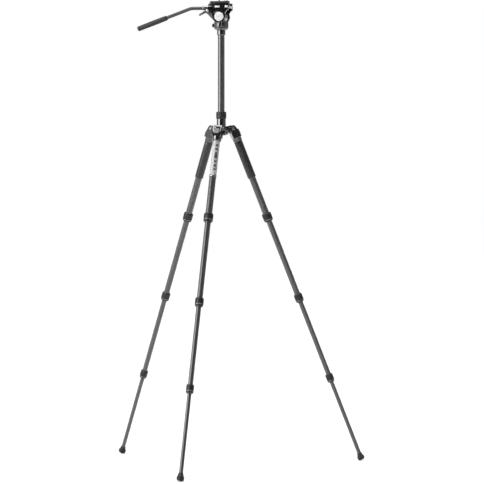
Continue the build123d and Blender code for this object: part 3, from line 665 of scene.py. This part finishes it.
def finish(name):
    """One shared material for each finish, made when it is first asked for."""
    if name not in FINISHES:
        makers = {
            "paint": cast_paint,
            "lock rubber": lambda: rubber("lock_rubber", colours().rubber, 1900, 0.05 * MM, 0.32, 0.46),
            "foot rubber": lambda: rubber("foot_rubber", colours().rubber, 1300, 0.06 * MM, 0.45, 0.68),
            "pad rubber": lambda: rubber("pad_rubber", colours().rubber, 1700, 0.08 * MM, 0.6, 0.8),
            "handle rubber": lambda: rubber("handle_rubber", colours().foam, 2400, 0.05 * MM, 0.4, 0.55),
            "foam": foam,
            "grey paint": lambda: satin("grey_paint", colours().grey, 0.2, 0.3, 0.45),
            "lever paint": lambda: satin("lever_paint", colours().lever, 0.2, 0.3, 0.45),
            # pale satin for the plates that paint the highlights of the platform's glossy facets
            "platform highlight": lambda: satin("platform_highlight_paint", colours().silver, 0.1, 0.35, 0.5),
            "bar": lambda: satin("bar_anodising", colours().bar, 0.5, 0.24, 0.36),
            "ring metal": lambda: satin("ring_metal", colours().steel, 1.0, 0.22, 0.35),
            "plastic": lambda: satin("knob_plastic", colours().plastic, 0.0, 0.2, 0.34, 1800),
            "acetal": lambda: satin("bearing_acetal", colours().plastic, 0.0, 0.4, 0.55, 2200),
        }
        FINISHES[name] = makers[name]()
    return FINISHES[name]


# ---------------------------------------------------------------- the stage


class TRIPOD_OT_stage(bpy.types.Operator):
    """Sets the camera, the pale floor and the soft studio light"""

    bl_idname = "tripod.stage"
    bl_label = "Stage"

    def execute(self, context):
        stage = context.scene.tripod_stage
        self.camera(context, stage)
        clear_selection()
        bpy.ops.mesh.primitive_plane_add(size=FLOOR_SIZE, location=(0, 0, -FLOOR_DROP))
        floor = context.object
        floor.name = "floor"
        floor.data.materials.append(plain_floor())
        self.room(context, stage)
        self.lamp("top_light", COLUMN + Vector((-0.5, 0.3, 3.6)), COLUMN + UP * 1.2, stage.top)
        return {"FINISHED"}

    def camera(self, context, stage):
        heading = stage.azimuth + stage.aim
        offset = Vector((sin(stage.azimuth), -cos(stage.azimuth), 0)) * stage.distance
        back = Vector(
            (sin(heading) * cos(stage.pitch), -cos(heading) * cos(stage.pitch), sin(stage.pitch))
        )
        bpy.ops.object.camera_add(location=COLUMN + offset + UP * stage.height)
        camera = context.object
        camera.name = "camera"
        camera.rotation_mode = "QUATERNION"
        camera.rotation_quaternion = (-back).to_track_quat("-Z", "Y")
        camera.data.lens = stage.lens
        camera.data.sensor_width = 36
        camera.data.clip_end = 200
        context.scene.camera = camera
        context.scene.view_settings.view_transform = "Standard"

    def lamp(self, name, spot, target, power):
        bpy.ops.object.light_add(type="AREA", location=spot)
        lamp = bpy.context.object
        lamp.name = name
        lamp.rotation_mode = "QUATERNION"
        lamp.rotation_quaternion = (target - spot).to_track_quat("-Z", "Y")
        lamp.data.shape = "RECTANGLE"
        lamp.data.size = LAMP_SIZE
        lamp.data.size_y = LAMP_SIZE
        lamp.data.energy = power
        lamp.visible_camera = False

    def room(self, context, stage):
        """A tall panel left of the camera, a pale left wall, a dim right one, and white behind."""
        world = bpy.data.worlds.new("studio")
        context.scene.world = world
        world.use_nodes = True
        nodes, links = world.node_tree.nodes, world.node_tree.links
        place = nodes.new("ShaderNodeTexCoord").outputs["Generated"]

        def facing(direction, low, high, dim, bright):
            dot = nodes.new("ShaderNodeVectorMath")
            dot.operation = "DOT_PRODUCT"
            links.new(place, dot.inputs[0])
            dot.inputs[1].default_value = direction
            band = nodes.new("ShaderNodeMapRange")
            band.interpolation_type = "SMOOTHSTEP"
            links.new(dot.outputs["Value"], band.inputs["Value"])
            band.inputs["From Min"].default_value = low
            band.inputs["From Max"].default_value = high
            band.inputs["To Min"].default_value = dim
            band.inputs["To Max"].default_value = bright
            return band.outputs["Result"]

        def combine(operation, first, second):
            node = nodes.new("ShaderNodeMath")
            node.operation = operation
            links.new(first, node.inputs[0])
            links.new(second, node.inputs[1])
            return node.outputs[0]

        def heading(turn):
            """A level direction, turned to the left of the camera."""
            angle = stage.azimuth - radians(turn)
            return Vector((sin(angle), -cos(angle), 0))

        # the panel stands 41 to 76 degrees left of the camera, and fades out 34 to 41 degrees up
        panel = combine(
            "MULTIPLY",
            facing(heading(131), -0.03, 0.05, 0.0, 1.0),
            facing(heading(-14), -0.05, 0.07, 0.0, stage.panel),
        )
        panel = combine("MULTIPLY", panel, facing(UP, 0.56, 0.66, 1.0, 0.0))
        walls = facing(heading(90), 0.6, 0.7, stage.middle, stage.left_wall)
        right = facing(heading(-90), 0.3, 0.95, 0.0, stage.right_wall)
        backdrop = facing(heading(180), 0.8, 0.98, 0.0, stage.backdrop)
        ceiling = facing(UP, 0.85, 0.97, 0.0, stage.ceiling)
        light = panel
        for wall in (walls, right, backdrop, ceiling):
            light = combine("MAXIMUM", light, wall)
        rays = nodes.new("ShaderNodeLightPath")
        choose = nodes.new("ShaderNodeMix")
        links.new(rays.outputs["Is Camera Ray"], choose.inputs["Factor"])
        links.new(light, choose.inputs[2])
        choose.inputs[3].default_value = 1.0
        background = nodes["Background"]
        background.inputs["Color"].default_value = (1, 1, 1, 1)
        links.new(choose.outputs[0], background.inputs["Strength"])


# ---------------------------------------------------------------- legs and column


class TRIPOD_OT_tubes(bpy.types.Operator):
    """Wraps the leg tubes and the column in woven carbon"""

    bl_idname = "tripod.tubes"
    bl_label = "Carbon tubes"

    def execute(self, context):
        for leg in LEGS:
            for stage in range(1, 5):
                node = f"{leg}_tube_{stage}"
                radius = span(node, LEG_AXES[leg])[1]
                paint_node(node, carbon(f"carbon_{node}", LEG_AXES[leg], radius))
        radius = span("column_tube", COLUMN_AXES)[1]
        paint_node("column_tube", carbon("carbon_column", COLUMN_AXES, radius))
        return {"FINISHED"}


class TRIPOD_OT_castings(bpy.types.Operator):
    """Rounds and paints the castings of the legs, the spider and the head"""

    bl_idname = "tripod.castings"
    bl_label = "Castings"

    def execute(self, context):
        shoulders = [f"{leg}_shoulder" for leg in LEGS]
        for node in (*shoulders, "spider", "head_base", "pan_housing", "tilt_cradle", "handle_clamp"):
            dress(soft_cast(node, f"{node}_cast"), finish("paint"), node)
        for node in ("column_top_mount", "quick_release_plate"):
            dress(soft_cast(node, f"{node}_cast", 0.4 * MM), finish("paint"), node)
        return {"FINISHED"}


class TRIPOD_OT_twist_locks(bpy.types.Operator):
    """Models the ribbed twist locks and the light ring on each"""

    bl_idname = "tripod.twist_locks"
    bl_label = "Twist locks"

    def execute(self, context):
        for index in (1, 2, 3):
            first = f"{LEGS[0]}_lock_{index}"
            axes = self.lock_axes(LEGS[0], index)
            bore, outer, low, high = span_mm(first, axes)
            upper = span(f"{LEGS[0]}_tube_{index}", LEG_AXES[LEGS[0]])[1] / MM + 0.06
            collar = self.collar(bore, upper, outer, low, high)
            ring = self.ring(outer, high)
            for leg in LEGS:
                node = f"{leg}_lock_{index}"
                piece = twin(collar, f"{node}_collar")
                settle(piece, self.lock_axes(leg, index))
                dress(piece, finish("lock rubber"), node)
                band = twin(ring, f"{node}_ring")
                settle(band, self.lock_axes(leg, index))
                add_beside(band, finish("ring metal"), node)
            for piece in (collar, ring):
                bpy.data.objects.remove(piece)
        return {"FINISHED"}

    def lock_axes(self, leg, index):
        axes = LEG_AXES[leg].copy()
        axes.translation = place_of(f"{leg}_lock_{index}_turn")
        return axes

    def collar(self, bore, upper, outer, low, high):
        step = high - LOCK_NOSE
        outline = [
            (upper, low), (outer - 1.9, low), (outer - 1.1, low + 0.5), (outer - 0.9, low + 1.6),
            (outer - 0.15, low + 2.4), (outer, low + 3.2), (outer + 0.05, (low + step) / 2),
            (outer, step - 2.6), (outer - 0.2, step - 1.9), (outer - 0.8, step - 1.6),
            (outer - 0.8, step + 0.2), (outer - 0.3, step + 0.6), (outer - 0.4, step + 1.8),
            (outer - 1.7, high - 1.2), (outer - 2.7, high), (bore, high), (bore, 8.3), (upper, 8.3),
        ]
        ribs = sizes().lock_ribs
        piece = turned("lock_collar", outline, ribs * 4, hollow=True)
        grooves(piece, ribs, sizes().rib_depth, (low + 3) * MM, (step - 2.5) * MM, (outer - 0.5) * MM, 0.25)
        round_edges(piece, 0.18 * MM, 2, 40)
        smooth(piece)
        return piece

    def ring(self, outer, high):
        step = high - LOCK_NOSE
        outline = [
            (outer - 0.75, step - 1.5), (outer - 0.2, step - 1.4), (outer - 0.05, step - 1.1),
            (outer - 0.05, step - 0.3), (outer - 0.2, step), (outer - 0.75, step + 0.1),
        ]
        piece = turned("lock_ring", outline, 96, hollow=True)
        smooth(piece, 50)
        return piece


class TRIPOD_OT_column_lock(bpy.types.Operator):
    """Models the knurled lock ring round the column"""

    bl_idname = "tripod.column_lock"
    bl_label = "Column lock"

    def execute(self, context):
        node = "column_lock_ring"
        axes = axes_at(place_of("column_lock_turn"), UP, ACROSS)
        bore, outer, low, high = span_mm(node, axes)
        rows = 5
        first, last = low + 3.4, high - 4.4
        steps = [first + (last - first) * row / rows for row in range(rows + 1)]
        outline = [(bore, low), (outer - 1.9, low), (outer - 0.9, low + 0.7), (outer - 0.4, low + 2.0)]
        outline += [(outer - 0.55, step) for step in steps]
        outline += [
            (outer - 0.4, high - 3.2), (outer - 0.9, high - 1.6), (outer - 2.2, high - 0.3),
            (outer - 3.4, high), (bore, high),
        ]
        columns = sizes().knurl_columns
        piece = turned("column_lock_ring_rubber", outline, columns * 4, hollow=True)

        def raised(middle, normal):
            if abs(normal.z) > 0.3 or middle.xy.length < (outer - 1.2) * MM:
                return False
            if not first * MM < middle.z < last * MM:
                return False
            row = int((middle.z / MM - first) / (last - first) * rows)
            return (around(middle) * columns + 0.5 * (row % 2)) % 1 < 0.74

        edit_faces(piece, raised)
        bpy.ops.mesh.extrude_region_shrink_fatten(TRANSFORM_OT_shrink_fatten={"value": 0.5 * MM})
        leave_edit()
        round_edges(piece, 0.16 * MM, 2, 40)
        smooth(piece)
        settle(piece, axes)
        dress(piece, finish("lock rubber"), node)
        return {"FINISHED"}


class TRIPOD_OT_grips(bpy.types.Operator):
    """Models the foam grips, and the silver band and its ring on the front leg"""

    bl_idname = "tripod.grips"
    bl_label = "Grips and band"

    def execute(self, context):
        for leg in ("right_leg", "left_leg"):
            node = f"{leg}_foam_grip"
            inner, outer, low, high = span_mm(node, LEG_AXES[leg])
            piece = self.grip(LEG_AXES[leg], inner, outer, low, high, f"{leg}_grip_sleeve")
            dress(piece, finish("foam"), node)
        node = "front_leg_label_band"
        axes = LEG_AXES["front_leg"]
        _, outer, low, high = span(node, axes)
        paint_node(node, film(axes, low, high))
        self.band_ring(axes, outer / MM, high / MM, "front_leg_band_lower_ring", 7.5)
        self.band_ring(axes, outer / MM, low / MM + 2.4, "front_leg_band_upper_ring", 2.4)
        return {"FINISHED"}

    def grip(self, axes, inner, outer, low, high, name):
        curve = sizes().grip_round / MM
        outline = [(inner + 0.02, low)]
        arc = [(1 - sin(radians(30 * step)), 1 - cos(radians(30 * step))) for step in range(4)]
        outline += [(outer - curve * x, low + curve * z) for x, z in arc]
        shares = [step / 8 for step in range(1, 8)]
        outline += [(outer + 0.15 * sin(pi * share), low + (high - low) * share) for share in shares]
        outline += [(outer - curve * z, high - curve * x) for x, z in arc]
        outline += [(inner + 0.02, high)]
        return turned_on(axes, name, outline, 80, 40, hollow=True)

    def band_ring(self, axes, outer, bottom, name, height):
        outline = [
            (outer - 0.2, bottom - height), (outer + 0.35, bottom - height),
            (outer + 0.75, bottom - height + 0.5), (outer + 0.85, bottom - height / 2),
            (outer + 0.75, bottom - 0.5), (outer + 0.35, bottom), (outer - 0.2, bottom),
        ]
        piece = turned_on(axes, name, outline, 80, 50, hollow=True)
        add_beside(piece, finish("ring metal"), "front_leg_label_band")


class TRIPOD_OT_feet(bpy.types.Operator):
    """Models the rubber feet with their grip rings"""

    bl_idname = "tripod.feet"
    bl_label = "Feet"

    def execute(self, context):
        for leg in LEGS:
            node = f"{leg}_foot"
            _, outer, low, high = span_mm(node, LEG_AXES[leg])
            tube = span(f"{leg}_tube_4", LEG_AXES[leg])[0] / MM + 1.2
            piece = self.foot(LEG_AXES[leg], outer, tube, low, high, f"{leg}_foot_bell")
            dress(piece, finish("foot rubber"), node)
        return {"FINISHED"}

    def foot(self, axes, outer, tube, low, high, name):
        edge = 5.0
        outline = [(2.5, high - 0.6), (3.2, high), (outer - edge, high)]
        for step in range(1, 6):
            angle = radians(18 * step)
            outline.append((outer - edge + edge * sin(angle), high - edge + edge * cos(angle)))
        ring = high - edge - 1.2
        for _ in range(3):
            outline += [(outer, ring), (outer - 0.7, ring - 0.35), (outer - 0.7, ring - 0.95)]
            outline += [(outer - 0.05, ring - 1.3)]
            ring -= 2.6
        neck = 9.5
        outline += [
            (outer - 0.9, ring + 0.2), (outer - 2.2, ring - 1.6), (neck + 0.7, ring - 3.4),
            (neck, low + 4.2), (neck, low + 1.2), (neck - 0.5, low + 0.3), (neck - 1.2, low),
            (tube, low), (tube, high - 8),
        ]
        return turned_on(axes, name, outline, 72, 40)


class TRIPOD_OT_leg_hardware(bpy.types.Operator):
    """Models the angle tabs and the hinge bolts"""

    bl_idname = "tripod.leg_hardware"
    bl_label = "Leg hardware"

    def execute(self, context):
        for leg in LEGS:
            node = f"{leg}_angle_tab"
            dress(soft_cast(node, f"{node}_block", 0.35 * MM, 40, 2), finish("grey paint"), node)
            pin = axes_at(place_of(f"{leg}_hinge"), axis_of(f"{leg}_hinge"), LEG_AXES[leg].col[2].xyz)
            metal = lathe_metal(f"bolt_steel_{leg}", colours().steel, pin, 0.45 * MM)
            self.bolt(leg, pin, metal)
        return {"FINISHED"}

    def bolt(self, leg, axes, metal):
        half = self.half_length(axes)
        top = half / MM
        shank, head, under = 4.0, 5.5, top - 2.0
        steps = [
            (shank, -under), (shank, under), (head - 0.3, under), (head, under + 0.3), (head, top - 0.7),
            (head - 0.25, top - 0.25), (head - 0.8, top), (head - 1.3, top), (head - 1.5, top - 0.35),
            (head - 2.0, top - 0.35), (head - 2.2, top), (2.5, top), (2.3, top - 1.2), (0.6, top - 1.5),
        ]
        other_end = [(radius, -height) for radius, height in reversed(steps[2:])]
        piece = turned_on(axes, f"{leg}_hinge_bolt", other_end + steps, 60)
        dress(piece, metal, "leg_hinge_bolts")

    def half_length(self, axes):
        """Half a bolt's length, from the corners of the bolts that lie near this hinge."""
        inverse = axes.inverted()
        near = [inverse @ corner for corner in corners("leg_hinge_bolts")]
        return max(abs(point.z) for point in near if point.xy.length < 7 * MM)


# ---------------------------------------------------------------- head and handle


class TRIPOD_OT_head_fittings(bpy.types.Operator):
    """Models the cover disc, the pale plates that paint highlights on the platform, and the three lock
    knobs
    """

    bl_idname = "tripod.head_fittings"
    bl_label = "Head fittings"

    def execute(self, context):
        self.cover()
        self.deck_highlight_plates()
        # pale plates that paint highlights on the platform's facets
        self.pan_knob()
        self.tilt_knob()
        self.plate_knob()
        return {"FINISHED"}

    def cover(self):
        node = "tilt_cover_disc"
        axes = axes_at(TILT_AXIS, TOWARDS_FRONT_LEG, ACROSS)
        _, outer, low, high = span_mm(node, axes)
        outline = [
            (outer, low), (outer, high - 0.9), (outer - 0.3, high - 0.35), (outer - 0.9, high - 0.05),
            (outer - 1.6, high), (outer - 1.8, high - 0.3), (outer - 2.3, high - 0.3),
            (outer - 2.5, high - 0.02), (outer * 0.6, high + 0.35), (6.4, high + 0.5),
            (6.2, high + 0.1), (5.6, high + 0.1), (5.4, high + 0.45), (3.2, high + 0.45),
            (3.0, high - 0.9), (0.5, high - 1.1),
        ]
        piece = turned_on(axes, "tilt_cover_turned", outline, 128)
        metal = lathe_metal("cover_silver", colours().silver, axes, 0.6 * MM, 0.4, 0.55, 0.1, 0.02)
        dress(piece, metal, node)

    def deck_highlight_plates(self):
        """Pale plates on the platform that paint the highlights of its glossy facets: a pair on each long
        side, and one round its front end.
        """
        low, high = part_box("tilt_cradle")
        drop = high.z - low.z
        deck = (high.z - 0.235 * drop, high.z - 0.15 * drop)
        front = high.x
        half = high.y - COLUMN.y
        places = []
        for side in (COLUMN.y - half, COLUMN.y + half):
            places.append((front - 52 * MM, front - 33 * MM, side, 0.8 * MM, *deck))
            places.append((front - 13 * MM, front - 1 * MM, side, 0.8 * MM, *deck))
        # each pale box is a painted highlight on the glossy black platform
        highlight_plates = [self.deck_highlight_plate(*place) for place in places]
        front_highlight_plate = self.deck_highlight_plate(front - 0.4 * MM, front + 0.4 * MM, COLUMN.y, 46 * MM, *deck)
        piece = join([*highlight_plates, front_highlight_plate])
        piece.name = "deck_highlight_plates"
        round_edges(piece, 0.25 * MM, 2, 40)
        smooth(piece, 40)
        add_beside(piece, finish("platform highlight"), "tilt_cradle")

    def deck_highlight_plate(self, start, end, side, thick, bottom, top):
        return cube((start, side - thick / 2, bottom), (end, side + thick / 2, top))

    def knob_place(self, lock):
        """A lock knob's axes, its outer radius and its two ends."""
        axes = axes_at(place_of(f"{lock}_turn"), axis_of(f"{lock}_turn"), UP)
        _, outer, low, high = span_mm(f"{lock}_knob", axes)
        return axes, outer, low, high

    def finish_knob(self, piece, axes, lock):
        smooth(piece)
        settle(piece, axes)
        dress(piece, finish("plastic"), f"{lock}_knob")

    def pan_knob(self):
        axes, outer, low, high = self.knob_place("pan_lock")
        outline = [
            (2.5, low), (2.5, 0.4), (outer - 1.4, 0.4), (outer - 0.6, 0.9), (outer, 2.0),
            (outer, high - 1.6), (outer - 0.5, high - 0.6), (outer - 1.6, high), (3.2, high),
            (2.8, high - 0.5), (0.5, high - 0.6),
        ]
        piece = turned("pan_lock_knob_moulded", outline, 96)
        grooves(piece, 16, 0.5 * MM, 1.2 * MM, (high - 0.9) * MM, (outer - 0.9) * MM, 0.34)
        round_edges(piece, 0.15 * MM, 2, 40)
        self.finish_knob(piece, axes, "pan_lock")

    def tilt_knob(self):
        axes, outer, low, high = self.knob_place("tilt_lock")
        outline = [
            (6.05, 7.3), (6.05, low), (outer - 3, low), (outer - 1, low + 0.6),
            (outer - 0.3, low + 2.2), (outer, low + 4.5), (outer, high - 4), (outer - 0.5, high - 2),
            (outer - 1.6, high - 0.7), (outer - 3.2, high - 0.1), (9.0, high), (8.6, high - 0.8),
            (8.0, high - 0.8), (7.6, high - 0.1), (0.6, high + 0.1),
        ]
        piece = turned("tilt_lock_knob_moulded", outline, 120)
        lobes(piece, 7, 2.4 * MM, 7.5 * MM, (outer - 0.9) * MM)
        self.finish_knob(piece, axes, "tilt_lock")

    def plate_knob(self):
        axes, outer, low, high = self.knob_place("plate_lock")
        outline = [
            (3.0, low), (3.0, 0.4), (outer - 0.9, 0.4), (outer - 0.2, 0.9), (outer, 1.5),
            (outer, high - 1.6), (outer - 0.4, high - 0.6), (outer - 1.4, high), (4.2, high),
            (3.9, high - 0.5), (0.5, high - 0.6),
        ]
        piece = turned("plate_lock_knob_moulded", outline, 120)
        grooves(piece, 30, 0.35 * MM, 1.2 * MM, (high - 0.9) * MM, (outer - 0.6) * MM, 0.5)
        self.finish_knob(piece, axes, "plate_lock")


class TRIPOD_OT_plate(bpy.types.Operator):
    """Models the grooved pad, the camera screw with its thread, and the video pin"""

    bl_idname = "tripod.plate"
    bl_label = "Quick release plate"

    def execute(self, context):
        self.pad()
        self.screw()
        self.pin()
        return {"FINISHED"}

    def pad(self):
        low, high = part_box("plate_pad")
        thick = PAD_THICKNESS * MM
        clear_selection()
        middle = (low + high) / 2
        bpy.ops.mesh.primitive_cube_add(size=1, location=(middle.x, middle.y, low.z + thick / 2))
        pad = bpy.context.object
        pad.name = "plate_pad_grooved"
        pad.scale = (high.x - low.x, high.y - low.y, thick)
        bpy.ops.object.transform_apply(location=True, rotation=True, scale=True)
        edit_all(pad, "EDGE")
        bpy.ops.mesh.select_all(action="DESELECT")
        leave_edit()
        for edge in pad.data.edges:
            first, second = (pad.data.vertices[index].co for index in edge.vertices)
            edge.select = abs(first.z - second.z) > thick / 2
        bpy.ops.object.mode_set(mode="EDIT")
        bpy.ops.mesh.bevel(offset=2.5 * MM, segments=5)
        pitch, groove = 3.0 * MM, 0.8 * MM
        start = low.x + 4.0 * MM
        count = int((high.x - 6.5 * MM - start) / pitch)
        for index in range(count):
            for cut in (0, groove):
                bpy.ops.mesh.select_all(action="SELECT")
                bpy.ops.mesh.bisect(plane_co=(start + index * pitch + cut, 0, 0), plane_no=(1, 0, 0))
        leave_edit()
        top = low.z + thick

        def in_groove(face_middle, normal):
            along = (face_middle.x - start) / pitch
            inside = -0.01 < along < count and (along % 1) * pitch < groove
            return inside and normal.z > 0.9 and abs(face_middle.z - top) < 0.1 * MM

        edit_faces(pad, in_groove)
        bpy.ops.mesh.extrude_region_move(TRANSFORM_OT_translate={"value": (0, 0, -0.6 * MM)})
        leave_edit()
        round_edges(pad, 0.12 * MM, 2, 40)
        clear_selection()
        lip_middle = high.x - 1.5 * MM
        bpy.ops.mesh.primitive_cube_add(
            size=1, location=(lip_middle, middle.y, (low.z + high.z) / 2)
        )
        lip = bpy.context.object
        lip.scale = (3 * MM, high.y - low.y - 4 * MM, high.z - low.z)
        bpy.ops.object.transform_apply(location=True, rotation=True, scale=True)
        round_edges(lip, 0.7 * MM, 3, 40)
        pad = join([pad, lip])
        smooth(pad)
        dress(pad, finish("pad rubber"), "plate_pad")

    def screw(self):
        node = "camera_screw"
        axes = axes_at(place_of("camera_screw_turn"), UP, ACROSS)
        _, head, low, high = span_mm(node, axes)
        root, crest = 2.45, 3.175
        outline = [
            (0.5, low + 1.2), (2.4, low + 1.2), (2.6, low), (head - 0.5, low), (head, low + 0.5),
            (head, low + 2.3), (head - 0.5, low + 2.8), (2.6, low + 2.8), (2.6, -0.6), (root, -0.4),
            (root, high - 0.4), (root - 0.5, high), (0.5, high),
        ]
        core = turned("camera_screw_turned", outline, 48)
        smooth(core)
        pitch = sizes().thread_pitch
        clear_selection()
        bpy.ops.mesh.primitive_circle_add(vertices=3, radius=0.5 * MM, fill_type="NOTHING")
        thread = bpy.context.object
        profile = ((root - 0.15, 0.06), (crest, 0.5), (root - 0.15, 0.94))
        for vertex, (radius, height) in zip(thread.data.vertices, profile):
            vertex.co = (radius * MM, 0, -0.5 * MM + height * pitch)
        screw = thread.modifiers.new("turns", "SCREW")
        screw.angle = tau
        screw.screw_offset = pitch
        screw.iterations = int((high + 0.3) * MM / pitch)
        screw.steps = 40
        screw.render_steps = 40
        select_only(thread)
        bpy.ops.object.modifier_apply(modifier=screw.name)
        edit_all(thread)
        bpy.ops.mesh.remove_doubles(threshold=0.001 * MM)
        bpy.ops.mesh.select_all(action="DESELECT")
        bpy.ops.mesh.select_non_manifold()
        bpy.ops.mesh.edge_face_add()
        leave_edit()
        close_up(thread)
        smooth(thread, 50)
        piece = join([core, thread])
        settle(piece, axes)
        dress(piece, lathe_metal("screw_steel", colours().steel, axes, 0.5 * MM), node)

    def pin(self):
        node = "video_pin"
        middle = middle_of(node)
        axes = axes_at(Vector((middle.x, middle.y, 0)), UP, ACROSS)
        _, seat, low, high = span_mm(node, axes)
        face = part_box("plate_pad")[0].z / MM + PAD_THICKNESS
        outline = [
            (seat, low), (seat, face - 0.1), (2.0, face), (2.0, high - 0.9), (1.75, high - 0.35),
            (1.3, high - 0.08), (0.4, high),
        ]
        piece = turned_on(axes, "video_pin_turned", outline, 40, 40)
        dress(piece, lathe_metal("pin_steel", colours().steel, axes, 0.5 * MM), node)


class TRIPOD_OT_handle(bpy.types.Operator):
    """Models the pan handle's grip and end cap, and finishes its bar and clamp lever"""

    bl_idname = "tripod.handle"
    bl_label = "Pan handle"

    def execute(self, context):
        paint_node("handle_bar", finish("bar"))
        slope = sizes().bar_slope
        along = Vector((-cos(slope), 0, -sin(slope)))
        axes = axes_at(middle_of("handle_grip"), along, UP)
        inner, outer, low, high = span_mm("handle_grip", axes)
        self.grip(axes, inner, outer, low, high)
        self.cap(axes, outer)
        lever = soft_cast("clamp_lever", "clamp_lever_blade", 0.9 * MM, 40, 3)
        dress(lever, finish("lever paint"), "clamp_lever")
        self.bolt()
        return {"FINISHED"}

    def grip(self, axes, inner, outer, low, high):
        outline = [
            (inner + 0.02, low), (outer - 2.6, low), (outer - 1.5, low + 0.5), (outer - 1.0, low + 1.4),
            (outer - 1.0, low + 3.4), (outer - 1.5, low + 3.9), (outer - 1.5, low + 4.7),
            (outer - 0.8, low + 5.2),
        ]
        length = high - low
        for step in range(1, 13):
            share = step / 13
            swell = 0.35 * sin(pi * share) ** 2
            outline.append((outer - 0.65 + swell, low + 5.2 + (length - 14) * share))
        start = high - 8.0
        outline += [
            (outer - 0.7, start), (outer - 1.3, start + 0.5), (outer - 1.3, start + 1.3),
            (outer - 0.6, start + 1.8), (outer - 0.4, start + 5.2), (outer - 1.1, high),
            (inner + 0.02, high),
        ]
        piece = turned_on(axes, "handle_grip_sleeve", outline, 72, 40, hollow=True)
        dress(piece, finish("handle rubber"), "handle_grip")

    def cap(self, axes, outer):
        node = "handle_end_cap"
        _, _, low, high = span_mm(node, axes)
        outline = [
            (outer - 2.2, low), (outer - 1.0, low), (outer - 1.1, low + 1.2), (outer - 1.8, low + 2.4),
            (outer - 3.4, low + 3.4), (outer - 6.0, high), (0.8, high + 0.1),
        ]
        piece = turned_on(axes, "handle_end_cap_moulded", outline, 72, 45)
        dress(piece, finish("handle rubber"), node)

    def bolt(self):
        node = "clamp_bolt"
        axes = axes_at(place_of("clamp_lever_turn"), TOWARDS_FRONT_LEG, ACROSS)
        _, head, low, high = span_mm(node, axes)
        outline = [
            (4.0, low), (4.0, high - 2.4), (head, high - 2.4), (head, high - 1.1),
            (head - 0.35, high - 0.45), (head - 1.1, high - 0.05), (2.4, high + 0.1), (2.2, high - 0.9),
            (0.5, high - 1.1),
        ]
        piece = turned_on(axes, "clamp_bolt_turned", outline, 56, 40)
        dress(piece, lathe_metal("clamp_steel", shade(colours().steel, 1.4), axes, 0.4 * MM), node)


class TRIPOD_OT_inner_parts(bpy.types.Operator):
    """Finishes the bushing, plug, discs, shaft and accessory thread, mostly out of sight"""

    bl_idname = "tripod.inner_parts"
    bl_label = "Inner parts"

    def execute(self, context):
        for node in ("column_bushing", "column_end_plug", "friction_discs"):
            paint_node(node, finish("acetal"))
        paint_node("tilt_shaft", finish("ring metal"))
        paint_node("accessory_port_insert", finish("ring metal"))
        return {"FINISHED"}


MAKERS = (
    TRIPOD_OT_stage,
    TRIPOD_OT_tubes,
    TRIPOD_OT_castings,
    TRIPOD_OT_twist_locks,
    TRIPOD_OT_column_lock,
    TRIPOD_OT_grips,
    TRIPOD_OT_feet,
    TRIPOD_OT_leg_hardware,
    TRIPOD_OT_head_fittings,
    TRIPOD_OT_plate,
    TRIPOD_OT_handle,
    TRIPOD_OT_inner_parts,
)


class TRIPOD_PT_panel(bpy.types.Panel):
    """Lists the sizes, the colours and the steps that dress the tripod"""

    bl_idname = "TRIPOD_PT_panel"
    bl_label = "Tripod"
    bl_space_type = "VIEW_3D"
    bl_region_type = "UI"
    bl_category = "Tripod"

    def draw(self, context):
        for group in (context.scene.tripod_sizes, context.scene.tripod_colours, context.scene.tripod_stage):
            box = self.layout.box()
            for name in group.__annotations__:
                box.prop(group, name)
        for maker in MAKERS:
            self.layout.operator(maker.bl_idname)


GROUPS = {"tripod_sizes": TripodSizes, "tripod_colours": TripodColours, "tripod_stage": TripodStage}


def register():
    for cls in (*GROUPS.values(), *MAKERS, TRIPOD_PT_panel):
        bpy.utils.register_class(cls)
    for name, group in GROUPS.items():
        setattr(bpy.types.Scene, name, PointerProperty(type=group))


def unregister():
    for name in GROUPS:
        delattr(bpy.types.Scene, name)
    for cls in reversed((*GROUPS.values(), *MAKERS, TRIPOD_PT_panel)):
        bpy.utils.unregister_class(cls)


def main():
    register()
    bpy.ops.tripod.stage()
    bpy.ops.tripod.tubes()
    bpy.ops.tripod.castings()
    bpy.ops.tripod.twist_locks()
    bpy.ops.tripod.column_lock()
    bpy.ops.tripod.grips()
    bpy.ops.tripod.feet()
    bpy.ops.tripod.leg_hardware()
    bpy.ops.tripod.head_fittings()
    bpy.ops.tripod.plate()
    bpy.ops.tripod.handle()
    bpy.ops.tripod.inner_parts()


if __name__ == "__main__":
    main()
